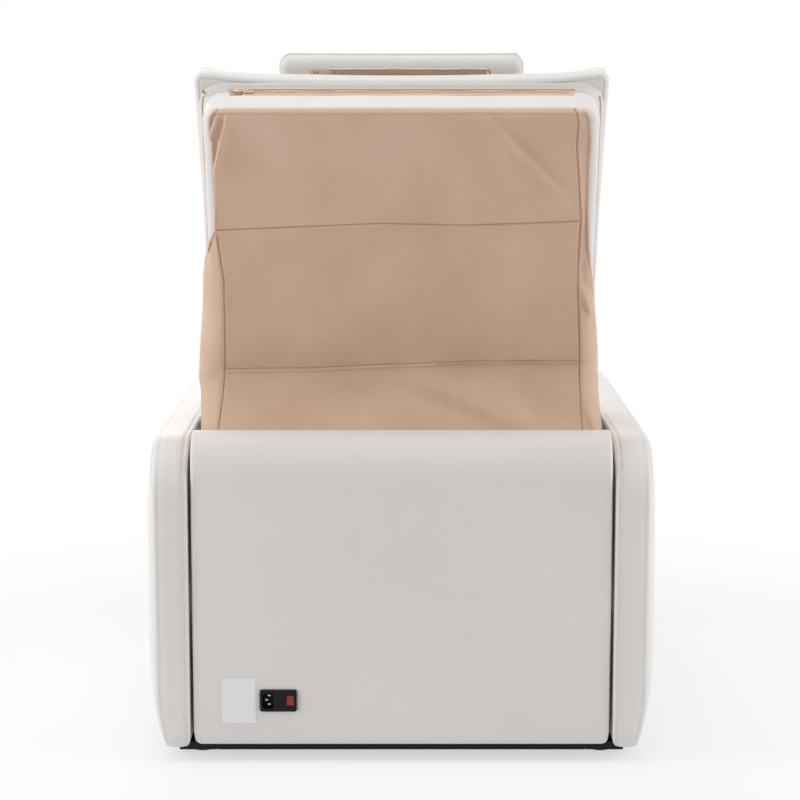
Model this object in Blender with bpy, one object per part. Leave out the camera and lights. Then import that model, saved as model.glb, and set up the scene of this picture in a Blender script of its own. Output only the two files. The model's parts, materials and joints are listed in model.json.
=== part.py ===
"""Electric massage bed: a padded recliner whose back and leg rest are driven by two linear actuators.

Metres, +Z up, the sitter faces -Y, the origin is on the floor under the middle of the chair.
"""

import math

import bmesh
import bpy
from mathutils import Matrix, Vector

# Clearances
GAP = 0.0003
RUNNING_CLEARANCE = 0.0004
SWING_CLEARANCE = 0.0008

# Whole chair
CHAIR_WIDTH = 0.820
CHAIR_DEPTH = 0.900
SEAT_BAY_WIDTH = 0.660

# Plinth and feet
PLINTH_ARM_BEARING = 0.022
PLINTH_WIDTH = SEAT_BAY_WIDTH + 2 * PLINTH_ARM_BEARING
PLINTH_RECESS = 0.050
PLINTH_RAIL_WIDTH = 0.060
FOOT_HEIGHT = 0.006
FOOT_RADIUS = 0.020
FOOT_INSET = 0.035
FOOT_BEVEL = 0.001
PLINTH_BEVEL = 0.001
FLOOR_BOARD_THICKNESS = 0.015

# Arms
ARM_BOTTOM = 0.020
ARM_TOP = 0.510
ARM_CROWN = 0.026
ARM_EDGE = 0.005
ARM_TOP_RADIUS = 0.085
ARM_FOOT_RADIUS = 0.022
ARM_BOARD_THICKNESS = 0.018
ARM_BOARD_INSET = 0.008
ARM_BOARD_MARGIN = 0.055

# Rear panel
REAR_PANEL_SIDE_GAP = 0.005
REAR_PANEL_WIDTH = SEAT_BAY_WIDTH - 2 * REAR_PANEL_SIDE_GAP
REAR_PANEL_BOTTOM = 0.028
REAR_PANEL_TOP = 0.522
REAR_PANEL_THICKNESS = 0.052
REAR_PANEL_SETBACK = 0.003
REAR_ROLL_HEIGHT = 0.066
REAR_ROLL_DEPTH = 0.046
REAR_PANEL_EDGE = 0.007
REAR_BOARD_THICKNESS = 0.015
REAR_BOARD_INSET = 0.005
REAR_BOARD_MARGIN = 0.030

# Seat
SEAT_RAIL_WIDTH = 0.040
SEAT_RAIL_HEIGHT = 0.040
SEAT_RAIL_BOTTOM = 0.295
SEAT_RAIL_FRONT = -0.340
SEAT_RAIL_REAR = 0.230
SEAT_RAIL_BEVEL = 0.002
SEAT_BOARD_THICKNESS = 0.015
SEAT_BOARD_FRONT = -0.320
SEAT_FRONT = -0.366
SEAT_REAR = 0.046
SEAT_CUSHION_HEIGHT = 0.082
SEAT_CROWN = 0.016
SEAT_SIDE_CLEARANCE = 0.003
SEAT_CORNER_RADIUS = 0.030
SEAT_EDGE = 0.022

# Back: the pivot lies half way through its thickness
BACK_LEAN = math.radians(20.0)
BACK_RECLINE = math.radians(40.0)
BACK_PIVOT_Y = 0.1445
BACK_PIVOT_RISE = 0.1457
BACK_PIVOT_Z = SEAT_RAIL_BOTTOM + SEAT_RAIL_HEIGHT + BACK_PIVOT_RISE
BACK_REAR_FACE = 0.075
BACK_FRONT_FACE = -0.075
BACK_BAND_REAR = 0.012
BACK_BAND_FRONT = -0.022
BACK_SIDE_CLEARANCE = 0.007
BACK_PAD_WIDTH = SEAT_BAY_WIDTH - 2 * BACK_SIDE_CLEARANCE
BACK_PAD_OVERHANG = 0.021
BACK_BOX_WIDTH = BACK_PAD_WIDTH - 2 * BACK_PAD_OVERHANG
BACK_BOX_TOP = 0.596
BACK_BOX_BOTTOM = -0.020
BACK_BOX_RADIUS = 0.024
BACK_BOX_EDGE = 0.014
BACK_PAD_RISE = 0.016
BACK_PAD_TOP = BACK_BOX_TOP + BACK_PAD_RISE
BACK_PAD_BOTTOM = -0.058
BACK_PAD_RADIUS = 0.018
BACK_PAD_EDGE = 0.016
BACK_PAD_CROWN = 0.012
BACK_PAD_PULL = 0.009
BAND_DROP = 0.008
BAND_TOP = BACK_BOX_TOP - BAND_DROP
BAND_BOTTOM = 0.055
BAND_WALL = 0.004
BACK_RAIL_SIZE = 0.020
BACK_RAIL_BOTTOM = -0.040
BACK_BOARD_THICKNESS = 0.012

# Cloth cover of the back
COVER_HEM_DROP = 0.006
COVER_HEM = BACK_BOX_TOP - COVER_HEM_DROP
COVER_TOP_INSET = 0.0155
COVER_TOP_WIDTH = BACK_BOX_WIDTH - 2 * COVER_TOP_INSET
COVER_SIDE_CLEARANCE = 0.014
COVER_LOW_WIDTH = SEAT_BAY_WIDTH - 2 * COVER_SIDE_CLEARANCE
COVER_THICKNESS = 0.003
COVER_STAND_OFF = 0.0035
COVER_WRAP = 0.045
COVER_WRAP_RADIUS = 0.014
COVER_FLARE_TOP = 0.420
COVER_FLARE_LOW = 0.330
COVER_WRAP_LOW = 0.200
COVER_LEAVES_BACK = 0.165
COVER_END_Z = 0.470
COVER_PANEL_CLEARANCE = 0.004
COVER_BEND_SHARE = 0.5

# Zips
ZIP_WIDTH = 0.022
ZIP_HEIGHT = 0.004
BACK_ZIP_END = 0.037
BACK_ZIP_LENGTH = BACK_BOX_WIDTH - 2 * BACK_ZIP_END
BACK_SLIDER_END = 0.021
BACK_SLIDER_X = BACK_ZIP_LENGTH / 2 - BACK_SLIDER_END
PILLOW_ZIP_END = 0.055
PILLOW_ZIP_DROP = 0.023
PILLOW_SLIDER_END = 0.012
SLIDER_LENGTH = 0.016
SLIDER_WIDTH = 0.009
SLIDER_HEIGHT = 0.0036
PULL_LENGTH = 0.024
PULL_WIDTH = 0.006
PULL_HEIGHT = 0.0015

# Head pillow
PILLOW_WIDTH = 0.390
PILLOW_ZIP_LENGTH = PILLOW_WIDTH - 2 * PILLOW_ZIP_END
PILLOW_SLIDER_X = PILLOW_ZIP_LENGTH / 2 - PILLOW_SLIDER_END
PILLOW_HEIGHT = 0.245
PILLOW_RISE = 0.005
PILLOW_TOP = BACK_PAD_TOP + PILLOW_RISE
PILLOW_THICKNESS = 0.052
PILLOW_CROWN = 0.022
PILLOW_RADIUS = 0.026
PILLOW_EDGE = 0.018
PILLOW_PULL = 0.006
PILLOW_CONTACT_RISE = 0.027717

# Leg rest: hangs at rest, the pivot is behind its top edge
LEG_LIFT = math.radians(75.0)
LEG_PIVOT_Y = -0.385
LEG_PIVOT_RISE = 0.037
LEG_PIVOT_Z = SEAT_RAIL_BOTTOM + SEAT_RAIL_HEIGHT + LEG_PIVOT_RISE
LEG_REAR = -0.402
LEG_BOARD_THICKNESS = 0.012
LEG_PAD_THICKNESS = 0.024
LEG_CROWN = 0.008
LEG_TOP_RISE = 0.008
LEG_TOP = LEG_PIVOT_Z + LEG_TOP_RISE
LEG_BOTTOM = 0.070
LEG_SIDE_CLEARANCE = 0.006
LEG_CORNER_RADIUS = 0.024
LEG_EDGE = 0.010
LEG_BOARD_MARGIN = 0.012

# Hinges
HINGE_PLATE = 0.005
HINGE_RADIUS = 0.018
BACK_PIN_RADIUS = 0.006
LEG_PIN_RADIUS = 0.005
PIN_STAND_OUT = 0.0015

# Linear actuators: the lever angle is counted from straight down, towards the front
BACK_DRIVE_X = -0.110
BACK_LEVER_RADIUS = 0.075
BACK_LEVER_START = math.radians(-20.0)
BACK_CLEVIS_Y = -0.060
BACK_CLEVIS_Z = 0.130
LEG_DRIVE_X = 0.110
LEG_LEVER_RADIUS = 0.060
LEG_LEVER_START = math.radians(-32.0)
LEG_CLEVIS_Y = -0.020
LEG_CLEVIS_Z = 0.100
DRIVE_PIN_RADIUS = 0.005
DRIVE_PLATE = 0.006
DRIVE_ROD_RADIUS = 0.008
DRIVE_TUBE_RADIUS = 0.016
DRIVE_TUBE_REACH = 0.215
DRIVE_ROD_INSERT = 0.090
DRIVE_BORE_BOTTOM = 0.030
DRIVE_GEARBOX = 0.050
DRIVE_GEARBOX_WIDTH = 0.030
DRIVE_MOTOR_RADIUS = 0.018
DRIVE_MOTOR_LENGTH = 0.095
DRIVE_BEVEL = 0.003
DRIVE_TUBE_STEP = 0.0005
EYE_THICKNESS = 0.017
EYE_WALL = 0.006
EYE_PLAY = 0.0026
LEVER_ROOT = 0.040
LEVER_WALL = 0.010

# Inlet module, rating plate and control box
INLET_FROM_EDGE = 0.133
INLET_X = REAR_PANEL_WIDTH / 2 - INLET_FROM_EDGE
INLET_Z = 0.100
INLET_WIDTH = 0.057
INLET_HEIGHT = 0.035
INLET_DEPTH = 0.026
BEZEL_BORDER = 0.0025
BEZEL_THICKNESS = 0.0025
SOCKET_OFFSET = 0.0165
SOCKET_WIDTH = 0.017
SOCKET_HEIGHT = 0.026
SOCKET_DEPTH = 0.018
SOCKET_PIN_LENGTH = 0.011
SOCKET_PIN_THICKNESS = 0.002
SOCKET_PIN_WIDTH = 0.004
SOCKET_PIN_SPREAD = 0.007
SOCKET_EARTH_OFFSET = 0.004
ROCKER_OFFSET = -0.0185
ROCKER_WIDTH = 0.0110
ROCKER_HEIGHT = 0.0150
ROCKER_DEPTH = 0.010
ROCKER_PIVOT_DEPTH = 0.003
ROCKER_BACK = 0.008
ROCKER_BACK_HEIGHT = 0.0075
ROCKER_LIP = 0.0022
ROCKER_DIP = 0.0011
ROCKER_TILT = math.radians(8.0)
ROCKER_CLEARANCE = 0.0008
PLATE_GAP = 0.007
PLATE_WIDTH = 0.053
PLATE_X = INLET_X + (INLET_WIDTH + PLATE_WIDTH) / 2 + PLATE_GAP
PLATE_HEIGHT = 0.073
PLATE_THICKNESS = 0.0005
CONTROL_WIDTH = 0.120
CONTROL_DEPTH = 0.080
CONTROL_HEIGHT = 0.045
CONTROL_FROM_ARM = 0.100
CONTROL_X = SEAT_BAY_WIDTH / 2 - CONTROL_FROM_ARM
CONTROL_FROM_REAR = 0.200
CONTROL_Y = CHAIR_DEPTH / 2 - CONTROL_FROM_REAR
CONTROL_BEVEL = 0.003

# Roundness
ARC_POINTS = 5
ROLL_POINTS = 9
PIN_SIDES = 16
TUBE_SIDES = 20

for old in list(bpy.data.objects):
    bpy.data.objects.remove(old)

# Directions that a pad's own X, Y and Z axes take in the chair
LYING = Matrix.Identity(3)
FACING_LEFT = Matrix(((0, 0, 1), (1, 0, 0), (0, 1, 0)))
FACING_RIGHT = Matrix(((0, 0, -1), (-1, 0, 0), (0, 1, 0)))
FACING_REAR = Matrix(((-1, 0, 0), (0, 0, 1), (0, 1, 0)))
FACING_FRONT = Matrix(((1, 0, 0), (0, 0, -1), (0, 1, 0)))


# Finishes
def linear(hex_colour):
    channels = [int(hex_colour[i:i + 2], 16) / 255 for i in (1, 3, 5)]
    return [c / 12.92 if c <= 0.04045 else ((c + 0.055) / 1.055) ** 2.4 for c in channels]


def material(name, hex_colour, roughness, metallic=0.0):
    finish = bpy.data.materials.new(name)
    finish.use_nodes = True
    shader = finish.node_tree.nodes["Principled BSDF"]
    shader.inputs["Base Color"].default_value = (*linear(hex_colour), 1.0)
    shader.inputs["Roughness"].default_value = roughness
    shader.inputs["Metallic"].default_value = metallic
    return finish


WHITE_LEATHER = material("white_pu_leather", "#E4E2DF", 0.5)
BEIGE_CLOTH = material("beige_cloth", "#C9A78C", 0.85)
ZIP_BEIGE = material("zip_nylon", "#D2B094", 0.6)
ZIP_METAL = material("zip_slider_metal", "#C9A98C", 0.35, 0.6)
PLYWOOD = material("plywood", "#C8A878", 0.7)
BLACK_PAINT = material("black_painted_board", "#1F1F20", 0.6)
DARK_STEEL = material("dark_painted_steel", "#3A3B3D", 0.45, 0.7)
BRIGHT_STEEL = material("zinc_plated_steel", "#B9BCBF", 0.3, 1.0)
BLACK_PLASTIC = material("black_plastic", "#1B1A1D", 0.4)
GREY_PLASTIC = material("grey_plastic", "#4A4C4F", 0.5)
RED_PLASTIC = material("red_plastic", "#A01F1F", 0.3)
FOOT_RUBBER = material("foot_rubber", "#161617", 0.8)
PLATE_PAPER = material("rating_plate_film", "#F1F1F0", 0.4)


# Building blocks
def add_node(name, vertices, faces, finish, parent=None, smooth=30.0):
    mesh = bpy.data.meshes.new(name)
    mesh.from_pydata(vertices, [], faces)
    shape = bmesh.new()
    shape.from_mesh(mesh)
    bmesh.ops.recalc_face_normals(shape, faces=shape.faces)
    shape.to_mesh(mesh)
    shape.free()
    mesh.shade_smooth()
    mesh.set_sharp_from_angle(angle=math.radians(smooth))
    mesh.materials.append(finish)
    node = bpy.data.objects.new(name, mesh)
    bpy.context.scene.collection.objects.link(node)
    node.parent = parent
    return node


def bevel(node, width, segments=2):
    rounding = node.modifiers.new("rounded_edges", "BEVEL")
    rounding.width = width
    rounding.segments = segments
    rounding.limit_method = "ANGLE"
    return node


def block(name, low, high, finish, parent=None, rounding=0.0):
    centre = (Vector(low) + Vector(high)) / 2
    half = (Vector(high) - Vector(low)) / 2
    signs = [(sx, sy, sz) for sx in (-1, 1) for sy in (-1, 1) for sz in (-1, 1)]
    vertices = [(half.x * sx, half.y * sy, half.z * sz) for sx, sy, sz in signs]
    faces = [(0, 1, 3, 2), (4, 6, 7, 5), (0, 4, 5, 1), (2, 3, 7, 6), (0, 2, 6, 4), (1, 5, 7, 3)]
    node = add_node(name, vertices, faces, finish, parent)
    node.location = centre
    if rounding:
        bevel(node, rounding)
    return node


def plate(name, outline, low_x, high_x, finish, parent=None):
    """A flat plate: an outline of (y, z) points between two places along X."""
    count = len(outline)
    vertices = [(x, y, z) for x in (low_x, high_x) for y, z in outline]
    faces = [tuple(range(count)), tuple(range(count, 2 * count))]
    for i in range(count):
        after = (i + 1) % count
        faces.append((i, after, count + after, count + i))
    return add_node(name, vertices, faces, finish, parent)


def bar(name, start, end, radius, sides, finish, parent=None):
    """A round bar between two points."""
    start = Vector(start)
    end = Vector(end)
    turn = (end - start).to_track_quat("Z", "Y")
    circle = [(radius * math.cos(a), radius * math.sin(a)) for a in
              (2 * math.pi * i / sides for i in range(sides))]
    vertices = [(x, y, z) for z in (0.0, (end - start).length) for x, y in circle]
    faces = [tuple(range(sides)), tuple(range(sides, 2 * sides))]
    for i in range(sides):
        after = (i + 1) % sides
        faces.append((i, after, sides + after, sides + i))
    node = add_node(name, vertices, faces, finish, parent)
    node.location = start
    node.rotation_euler = turn.to_euler()
    return node


def hide(tool):
    tool.hide_render = True
    tool.display_type = "WIRE"


def combine(node, tool, operation):
    hide(tool)
    step = node.modifiers.new(operation.lower(), "BOOLEAN")
    step.operation = operation
    step.object = tool
    return node


def cut(node, tool):
    return combine(node, tool, "DIFFERENCE")


def weld(node, tool):
    return combine(node, tool, "UNION")


# Outlines
def arc(centre, radii, start, end, points=ARC_POINTS):
    angles = [start + (end - start) * i / (points - 1) for i in range(points)]
    return [(centre[0] + radii[0] * math.cos(a), centre[1] + radii[1] * math.sin(a)) for a in angles]


def rounded_rectangle(width, height, radii, side_points=3, pull=0.0):
    """Corners run from lower left, counter-clockwise; the sides are drawn in by pull between them."""
    signs = ((-1, -1), (1, -1), (1, 1), (-1, 1))
    corners = []
    for turn, (sx, sy) in enumerate(signs):
        centre = (sx * (width / 2 - radii[turn]), sy * (height / 2 - radii[turn]))
        start = math.pi * (1 + turn / 2)
        corners.append(arc(centre, (radii[turn], radii[turn]), start, start + math.pi / 2))
    points = []
    for turn, corner in enumerate(corners):
        points.extend(corner)
        tail = Vector(corner[-1])
        head = Vector(corners[(turn + 1) % 4][0])
        steps = [(i + 1) / (side_points + 1) for i in range(side_points)]
        points.extend(tuple(tail.lerp(head, step)) for step in steps)
    drawn = []
    for x, y in points:
        across = 2 * x / width
        along = 2 * y / height
        drawn.append((x - pull * across * (1 - along * along), y - pull * along * (1 - across * across)))
    return drawn


def outward_normals(outline):
    normals = []
    for i in range(len(outline)):
        before = Vector(outline[i - 1])
        after = Vector(outline[(i + 1) % len(outline)])
        tangent = (after - before).normalized()
        normals.append((tangent.y, -tangent.x))
    return normals


CAP_SHARES = (0.34, 0.66, 0.88)
CROWN_POWER = 3.0


def pad(name, outline, low, high, facing, place, finish, parent=None, low_edge=0.004, high_edge=0.004,
        crown=0.0, low_crown=0.0):
    """A stuffed pad: an outline about its own middle, thick from low to high, crowned on the high side."""
    normals = outward_normals(outline)

    def ring(inset, height, share=1.0):
        pairs = zip(outline, normals)
        return [((x - nx * inset) * share, (y - ny * inset) * share, height) for (x, y), (nx, ny) in pairs]

    rings = []
    for share in CAP_SHARES:
        rings.append(ring(low_edge, low - low_crown * (1 - share ** CROWN_POWER), share))
    for angle in (0.0, math.pi / 4, math.pi / 2):
        rings.append(ring(low_edge * (1 - math.sin(angle)), low + low_edge * (1 - math.cos(angle))))
    for angle in (math.pi / 2, math.pi / 4, 0.0):
        rings.append(ring(high_edge * (1 - math.sin(angle)), high - high_edge * (1 - math.cos(angle))))
    for share in reversed(CAP_SHARES):
        rings.append(ring(high_edge, high + crown * (1 - share ** CROWN_POWER), share))
    count = len(outline)
    vertices = [point for loop in rings for point in loop]
    faces = []
    for level in range(len(rings) - 1):
        for i in range(count):
            after = (i + 1) % count
            base = level * count
            faces.append((base + i, base + after, base + count + after, base + count + i))
    vertices.append((0.0, 0.0, low - low_crown))
    vertices.append((0.0, 0.0, high + crown))
    first = len(vertices) - 2
    top = (len(rings) - 1) * count
    for i in range(count):
        after = (i + 1) % count
        faces.append((first, after, i))
        faces.append((first + 1, top + i, top + after))
    node = add_node(name, vertices, faces, finish, parent, smooth=50.0)
    node.location = place
    node.rotation_euler = facing.to_euler()
    return node


def hull(points):
    """The outline that a stretched band takes round the points, counter-clockwise."""
    ordered = sorted(set(points))

    def half(sequence):
        chain = []
        for p in sequence:
            while len(chain) > 1:
                first = Vector(chain[-1]) - Vector(chain[-2])
                second = Vector(p) - Vector(chain[-2])
                if first.x * second.y - first.y * second.x > 0:
                    break
                chain.pop()
            chain.append(p)
        return chain[:-1]

    return half(ordered) + half(reversed(ordered))


def circle(centre, radius, sides=PIN_SIDES):
    return arc(centre, (radius, radius), 0.0, 2 * math.pi * (1 - 1 / sides), sides)


def pivot_empty(name, place, lean=0.0, parent=None):
    empty = bpy.data.objects.new(name, None)
    bpy.context.scene.collection.objects.link(empty)
    empty.location = place
    empty.rotation_euler = (lean, 0.0, 0.0)
    empty.parent = parent
    return empty


# Places that several pieces share
HALF_BAY = SEAT_BAY_WIDTH / 2
HALF_DEPTH = CHAIR_DEPTH / 2
ARM_THICKNESS = (CHAIR_WIDTH - SEAT_BAY_WIDTH) / 2
PLINTH_TOP = ARM_BOTTOM - GAP
FLOOR_TOP = ARM_BOTTOM + FLOOR_BOARD_THICKNESS
REAR_FACE_Y = HALF_DEPTH - REAR_PANEL_SETBACK - BEZEL_THICKNESS
REAR_INNER_Y = REAR_FACE_Y - REAR_PANEL_THICKNESS
RAIL_TOP = SEAT_RAIL_BOTTOM + SEAT_RAIL_HEIGHT
RAIL_OUTER_X = HALF_BAY - GAP
RAIL_INNER_X = RAIL_OUTER_X - SEAT_RAIL_WIDTH
SEAT_BOARD_TOP = RAIL_TOP + GAP + SEAT_BOARD_THICKNESS
SIDES = (("left", 1), ("right", -1))


def ordered(low, high):
    return tuple(map(min, low, high)), tuple(map(max, low, high))


def sided_block(name, side, low, high, finish, parent=None, rounding=0.0):
    """A block given for the +X side, made on the side asked for."""
    near, far = ordered((low[0] * side, *low[1:]), (high[0] * side, *high[1:]))
    return block(name, near, far, finish, parent, rounding)


# Feet, plinth and floor board
def make_plinth():
    half = PLINTH_WIDTH / 2
    front = -HALF_DEPTH + PLINTH_RECESS
    rear = HALF_DEPTH - PLINTH_RECESS
    bottom = FOOT_HEIGHT + GAP
    inner = half - PLINTH_RAIL_WIDTH
    for side_name, side in SIDES:
        sided_block(f"plinth_rail_{side_name}", side, (inner, front, bottom), (half, rear, PLINTH_TOP),
                    BLACK_PAINT, rounding=PLINTH_BEVEL)
        for end_name, y in (("front", front + FOOT_INSET), ("rear", rear - FOOT_INSET)):
            x = side * (half - FOOT_INSET)
            foot = bar(f"glide_foot_{end_name}_{side_name}", (x, y, 0.0), (x, y, FOOT_HEIGHT), FOOT_RADIUS,
                       TUBE_SIDES, FOOT_RUBBER)
            bevel(foot, FOOT_BEVEL, 1)
    width = inner - GAP
    for end_name, low, high in (("front", front, front + PLINTH_RAIL_WIDTH),
                                ("rear", rear - PLINTH_RAIL_WIDTH, rear)):
        block(f"plinth_rail_{end_name}", (-width, low, bottom), (width, high, PLINTH_TOP), BLACK_PAINT,
              rounding=PLINTH_BEVEL)
    reach = HALF_BAY - SEAT_SIDE_CLEARANCE
    block("floor_board", (-reach, front, ARM_BOTTOM), (reach, REAR_INNER_Y - GAP, FLOOR_TOP),
          PLYWOOD)


# Arms: a board standing in a slot of the stuffed cover
def make_arms():
    radii = (ARM_FOOT_RADIUS, ARM_FOOT_RADIUS, ARM_TOP_RADIUS, ARM_TOP_RADIUS)
    outline = rounded_rectangle(CHAIR_DEPTH, ARM_TOP - ARM_BOTTOM, radii, 4)
    middle = (ARM_TOP + ARM_BOTTOM) / 2
    board_in = HALF_BAY + ARM_BOARD_INSET
    board_out = board_in + ARM_BOARD_THICKNESS
    board_end = HALF_DEPTH - ARM_BOARD_MARGIN
    board_top = ARM_TOP - ARM_BOARD_MARGIN
    for (side_name, side), facing in zip(SIDES, (FACING_LEFT, FACING_RIGHT)):
        cover = pad(f"arm_pad_{side_name}", outline, 0.0, ARM_THICKNESS - ARM_CROWN, facing,
                    (side * HALF_BAY, 0.0, middle), WHITE_LEATHER, None, ARM_EDGE, ARM_EDGE, ARM_CROWN)
        slot = sided_block(f"arm_slot_{side_name}", side, (board_in - GAP, -board_end - GAP, 0.0),
                           (board_out + GAP, board_end + GAP, board_top + GAP), PLYWOOD)
        cut(cover, slot)
        sided_block(f"arm_board_{side_name}", side, (board_in, -board_end, ARM_BOTTOM),
                    (board_out, board_end, board_top), PLYWOOD)


# Rear panel with its rolled top, and the inlet module that goes through it
def make_rear_panel():
    height = REAR_PANEL_TOP - REAR_PANEL_BOTTOM
    middle_y = (REAR_FACE_Y + REAR_INNER_Y) / 2
    middle_z = (REAR_PANEL_TOP + REAR_PANEL_BOTTOM) / 2
    deep = REAR_PANEL_THICKNESS / 2
    tall = height / 2
    foot = REAR_PANEL_EDGE
    lip = REAR_PANEL_THICKNESS - REAR_ROLL_DEPTH
    outline = arc((-deep + foot, -tall + foot), (foot, foot), math.pi, 1.5 * math.pi)
    outline += arc((deep - foot, -tall + foot), (foot, foot), 1.5 * math.pi, 2 * math.pi)
    outline += arc((deep - REAR_ROLL_DEPTH, tall - REAR_ROLL_HEIGHT), (REAR_ROLL_DEPTH, REAR_ROLL_HEIGHT),
                   0.0, math.pi / 2, ROLL_POINTS)[:-1]
    outline += arc((-deep + lip, tall - lip), (lip, lip), math.pi / 2, math.pi)
    cover = pad("rear_panel_pad", outline, -REAR_PANEL_WIDTH / 2, REAR_PANEL_WIDTH / 2, FACING_LEFT,
                (0.0, middle_y, middle_z), WHITE_LEATHER, None, REAR_PANEL_EDGE, REAR_PANEL_EDGE)
    reach = REAR_PANEL_WIDTH / 2 - REAR_BOARD_MARGIN
    near = REAR_INNER_Y + REAR_BOARD_INSET
    far = near + REAR_BOARD_THICKNESS
    top = REAR_PANEL_TOP - REAR_BOARD_MARGIN
    cut(cover, block("rear_slot", (-reach - GAP, near - GAP, 0.0), (reach + GAP, far + GAP, top + GAP),
                     PLYWOOD))
    block("rear_panel_board", (-reach, near, REAR_PANEL_BOTTOM), (reach, far, top), PLYWOOD)
    wide = INLET_WIDTH / 2 - BEZEL_BORDER
    high = INLET_HEIGHT / 2 - BEZEL_BORDER
    cut(cover, block("inlet_window", (INLET_X - wide - GAP, far, INLET_Z - high - GAP),
                     (INLET_X + wide + GAP, HALF_DEPTH, INLET_Z + high + GAP), BLACK_PLASTIC))
    make_inlet(wide, high)


def make_inlet(wide, high):
    bezel_back = REAR_FACE_Y + GAP
    bezel_front = bezel_back + BEZEL_THICKNESS
    housing = block("inlet_housing", (INLET_X - INLET_WIDTH / 2, bezel_back, INLET_Z - INLET_HEIGHT / 2),
                    (INLET_X + INLET_WIDTH / 2, bezel_front, INLET_Z + INLET_HEIGHT / 2), BLACK_PLASTIC)
    weld(housing, block("inlet_body", (INLET_X - wide, REAR_FACE_Y - INLET_DEPTH, INLET_Z - high),
                        (INLET_X + wide, bezel_front - GAP, INLET_Z + high), BLACK_PLASTIC))
    socket_x = INLET_X + SOCKET_OFFSET
    floor = bezel_front - SOCKET_DEPTH
    cut(housing, block("inlet_socket",
                       (socket_x - SOCKET_WIDTH / 2, floor, INLET_Z - SOCKET_HEIGHT / 2),
                       (socket_x + SOCKET_WIDTH / 2, HALF_DEPTH, INLET_Z + SOCKET_HEIGHT / 2), BLACK_PLASTIC))
    contacts = (("line", -SOCKET_EARTH_OFFSET / 2, SOCKET_PIN_SPREAD),
                ("neutral", -SOCKET_EARTH_OFFSET / 2, -SOCKET_PIN_SPREAD),
                ("earth", SOCKET_EARTH_OFFSET / 2, 0.0))
    for contact, dx, dz in contacts:
        x = socket_x + dx
        z = INLET_Z + dz
        block(f"inlet_pin_{contact}",
              (x - SOCKET_PIN_WIDTH / 2, floor + GAP, z - SOCKET_PIN_THICKNESS / 2),
              (x + SOCKET_PIN_WIDTH / 2, floor + GAP + SOCKET_PIN_LENGTH, z + SOCKET_PIN_THICKNESS / 2),
              BRIGHT_STEEL)
    rocker_x = INLET_X + ROCKER_OFFSET
    pocket_wide = ROCKER_WIDTH / 2 + ROCKER_CLEARANCE
    pocket_high = ROCKER_HEIGHT / 2 + ROCKER_CLEARANCE
    pivot_y = bezel_front - ROCKER_PIVOT_DEPTH
    cut(housing, block("rocker_pocket",
                       (rocker_x - pocket_wide, pivot_y - ROCKER_DEPTH, INLET_Z - pocket_high),
                       (rocker_x + pocket_wide, HALF_DEPTH, INLET_Z + pocket_high), BLACK_PLASTIC))
    tall = ROCKER_HEIGHT / 2
    tail = ROCKER_BACK_HEIGHT / 2
    outline = [(-ROCKER_BACK, -tail), (ROCKER_LIP, -tall), (ROCKER_LIP - ROCKER_DIP, 0.0), (ROCKER_LIP, tall),
               (-ROCKER_BACK, tail)]
    rocker = plate("rocker_switch", outline, -ROCKER_WIDTH / 2, ROCKER_WIDTH / 2, RED_PLASTIC)
    rocker.location = (rocker_x, pivot_y, INLET_Z)
    rocker.rotation_euler = (ROCKER_TILT, 0.0, 0.0)
    block("rating_plate", (PLATE_X - PLATE_WIDTH / 2, REAR_FACE_Y + GAP, INLET_Z - PLATE_HEIGHT / 2),
          (PLATE_X + PLATE_WIDTH / 2, REAR_FACE_Y + GAP + PLATE_THICKNESS, INLET_Z + PLATE_HEIGHT / 2),
          PLATE_PAPER)
    block("control_box", (CONTROL_X - CONTROL_WIDTH / 2, CONTROL_Y - CONTROL_DEPTH / 2, FLOOR_TOP + GAP),
          (CONTROL_X + CONTROL_WIDTH / 2, CONTROL_Y + CONTROL_DEPTH / 2, FLOOR_TOP + GAP + CONTROL_HEIGHT),
          GREY_PLASTIC, rounding=CONTROL_BEVEL)


# Seat: two rails between the arms, a board across them and the cushion
def make_seat():
    for side_name, side in SIDES:
        sided_block(f"seat_rail_{side_name}", side, (RAIL_INNER_X, SEAT_RAIL_FRONT, SEAT_RAIL_BOTTOM),
                    (RAIL_OUTER_X, SEAT_RAIL_REAR, RAIL_TOP), DARK_STEEL, rounding=SEAT_RAIL_BEVEL)
    reach = HALF_BAY - SEAT_SIDE_CLEARANCE
    block("seat_board", (-reach, SEAT_BOARD_FRONT, RAIL_TOP + GAP), (reach, SEAT_REAR, SEAT_BOARD_TOP), PLYWOOD)
    radii = (SEAT_CORNER_RADIUS,) * 4
    outline = rounded_rectangle(2 * reach, SEAT_REAR - SEAT_FRONT, radii, 4, SEAT_SIDE_CLEARANCE)
    pad("seat_cushion", outline, SEAT_BOARD_TOP + GAP, SEAT_BOARD_TOP + SEAT_CUSHION_HEIGHT, LYING,
        (0.0, (SEAT_FRONT + SEAT_REAR) / 2, 0.0), WHITE_LEATHER, None, SEAT_EDGE / 2, SEAT_EDGE, SEAT_CROWN)


# Hinges: a bracket with a welded pin on the base, a plate with a hole on what turns
def pinned_bracket(name, outline, side, inner_x, centre, pin_radius, pin_reach):
    near, far = sorted((side * inner_x, side * (inner_x + HINGE_PLATE)))
    bracket = plate(name, outline, near, far, DARK_STEEL)
    middle = side * (inner_x + HINGE_PLATE / 2)
    tip = side * (inner_x - pin_reach)
    pin = bar(f"{name}_pin", (middle, *centre), (tip, *centre), pin_radius, PIN_SIDES, BRIGHT_STEEL)
    return weld(bracket, pin)


def drilled_plate(name, outline, side, inner_x, hole_radius, parent):
    near, far = sorted((side * inner_x, side * (inner_x + HINGE_PLATE)))
    node = plate(name, outline, near, far, DARK_STEEL, parent)
    drill = bar(f"{name}_drill", (near - HINGE_PLATE, 0.0, 0.0), (far + HINGE_PLATE, 0.0, 0.0), hole_radius,
                PIN_SIDES, DARK_STEEL, parent)
    return cut(node, drill)


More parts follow.
